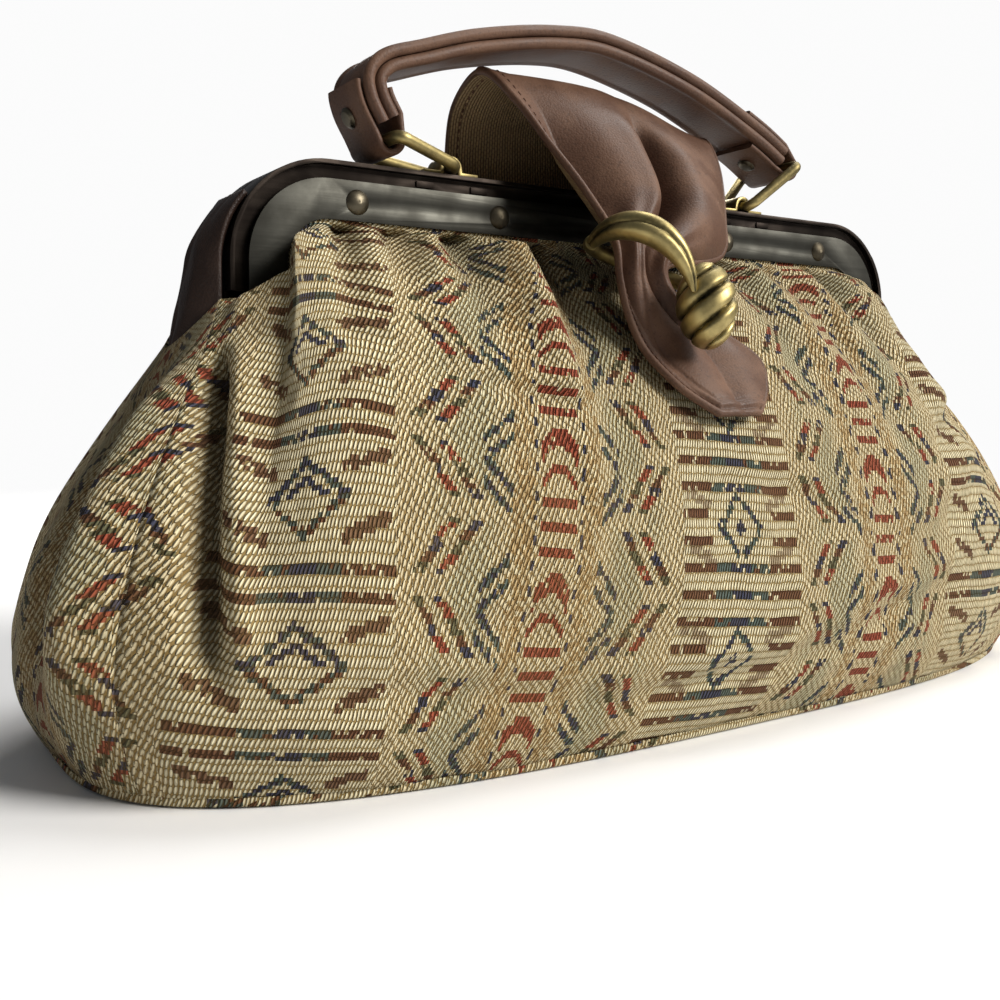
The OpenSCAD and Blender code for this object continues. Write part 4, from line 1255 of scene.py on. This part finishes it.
def inset(v, gap):
    return -1 + gap/through(tongue_route, v)[3]


outer_rows = [0.325 + 0.0118*i for i in range(23)] + [0.66 + 0.0118*i for i in range(26)]
outer_spots = [(inset(v, 3.0 if v < NECK else 2.0), v) for v in outer_rows]
outer_stitches = stitch_row("outer_stitches", outer_spots, 1.45)
inner_rows = [0.10 + 0.0125*i for i in range(16)]
inner_stitches = stitch_row("inner_stitches", [(inset(v, 3.2), v) for v in inner_rows], -0.85)

# %% [markdown]
# ## Twisted ring and its tab
# The ring is one casting of three strands. A hoop runs behind the neck, a pointed leaf of two strands
# crosses the front, and a fat coil with winding lobes sits at the lower right. Each point remembers how
# deep it lies in a groove, so the brass is rubbed bright on the lobes and dark between them.

# %% Twisted ring
LEAF_R, COIL_R, HOOP_R = 4.2, 8.6, 2.2


def on_front(x, y, z):
    return Vector((x, FACE + y, FRAME_TOP + z))


left_tip, leaf_tip = on_front(-29.4, -23.2, -19.3), on_front(-14.6, -49.4, -34.5)
coil_top, coil_low = on_front(-5.4, -43.8, -27), on_front(-4, -45, -49.2)
coil_heart = on_front(-1, -41.4, -35)


def hoop_point(q):
    return bend(left_tip, on_front(-26, -10, -20), on_front(18, -14, -27), coil_heart, q)


def leaf_point(q):
    return bend(left_tip, on_front(-33, -42, -12), on_front(-17, -48, -18), leaf_tip, q)


def coil_point(q):
    return coil_top.lerp(coil_low, q) - Vector((1.8, 1.6, 0))*math.sin(math.pi*q)


def leaf_radius(q):
    return LEAF_R*math.sin(math.radians(20 + 153*q))**0.8


def coil_radius(q):
    return COIL_R*math.sqrt(1 - ((q - 0.48)/0.54)**2)


def groove(angle):
    return (1 - abs(math.cos(angle)))**2.2


def leaf_dip(h, q):
    return groove(h - math.radians(30*q))


def coil_dip(h, q):
    return groove(2*(h + math.radians(360*q)))


def strand(name, cols, rows, point, radius, dip, depth, facing):
    def place(a, b):
        d = (point(b + 0.01) - point(b - 0.01)).normalized()
        side = d.cross(Vector(facing)).normalized()
        h = 2*math.pi*a
        r = radius(b)*(1 - depth*dip(h, b))
        return point(b) + (side*math.cos(h) + side.cross(d)*math.sin(h))*r

    return lay(name, cols, rows, place, antique_brass, weld=True, cap=True,
               wear_and_shade=lambda a, b: 0.75 - 2.0*dip(2*math.pi*a, b))


FRONT_LEFT, UPWARDS = (-0.55, -0.83, 0.1), (0.3, 0.3, 0.9)
strands = [strand("twisted_brass_ring", 72, 110, leaf_point, leaf_radius, leaf_dip, 0.30, FRONT_LEFT),
           strand("coil", 120, 110, coil_point, coil_radius, coil_dip, 0.24, FRONT_LEFT),
           strand("hoop", 20, 60, hoop_point, lambda q: HOOP_R, lambda h, q: 0.0, 0.0, UPWARDS)]
with bpy.context.temp_override(active_object=strands[0], selected_editable_objects=strands):
    bpy.ops.object.join()
twist = strands[0]
dress(twist, "scarf_ring", "antique_brass", "twisted_ring")
print("twisted ring", len(twist.data.polygons), "faces")

# %% Ring tab
TAB_T, TAB_HALF, RIVET_Z = 1.2, 4.5, 145.35
tab_wire = hoop_point(0.5)
tab_side = (hoop_point(0.51) - hoop_point(0.49)).normalized()
tab_back = Vector((-tab_side.y, tab_side.x, 0)).normalized()
tab_up = tab_side.cross(tab_back)
tab_y = -FRONT_D - 0.05 - TAB_T/2
tab_r = HOOP_R + 1.5 + TAB_T/2
tab_route = [Vector((0, tab_y, z)) for z in (RIVET_Z + 4.4, RIVET_Z, FRAME_TOP - PLATE_IN - 0.5)]
for degrees in range(70, 316, 35):
    g = math.radians(degrees)
    tab_route.append(tab_wire + (tab_back*math.cos(g) + tab_up*math.sin(g))*tab_r)


def tab_place(a, b):
    p = Vector(through(tab_route, b))
    turn = ease((b*(len(tab_route) - 1) - 1.6)/1.2)
    return p + Vector((1, 0, 0)).lerp(tab_side, turn)*(TAB_HALF*(2*a - 1))


tab = lay("ring_tab_cloth", 12, 60, tab_place, tab_webbing, size=(9, 55))
thicken(tab, TAB_T)
dress(tab, "front_frame", "tab_webbing", "ring_tab")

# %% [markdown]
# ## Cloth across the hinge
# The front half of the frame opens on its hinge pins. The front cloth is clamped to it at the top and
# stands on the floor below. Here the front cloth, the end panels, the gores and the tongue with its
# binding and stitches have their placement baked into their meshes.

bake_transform(front_cloth)
for piece, way in ((left_end, -1), (right_end, 1)):
    way*0.1500
    way*0.1545
    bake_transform(piece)
for piece in (left_gore, right_gore):
    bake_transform(piece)
for piece in (tongue_outside, tongue_inside, binding, outer_stitches, inner_stitches):
    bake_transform(piece)
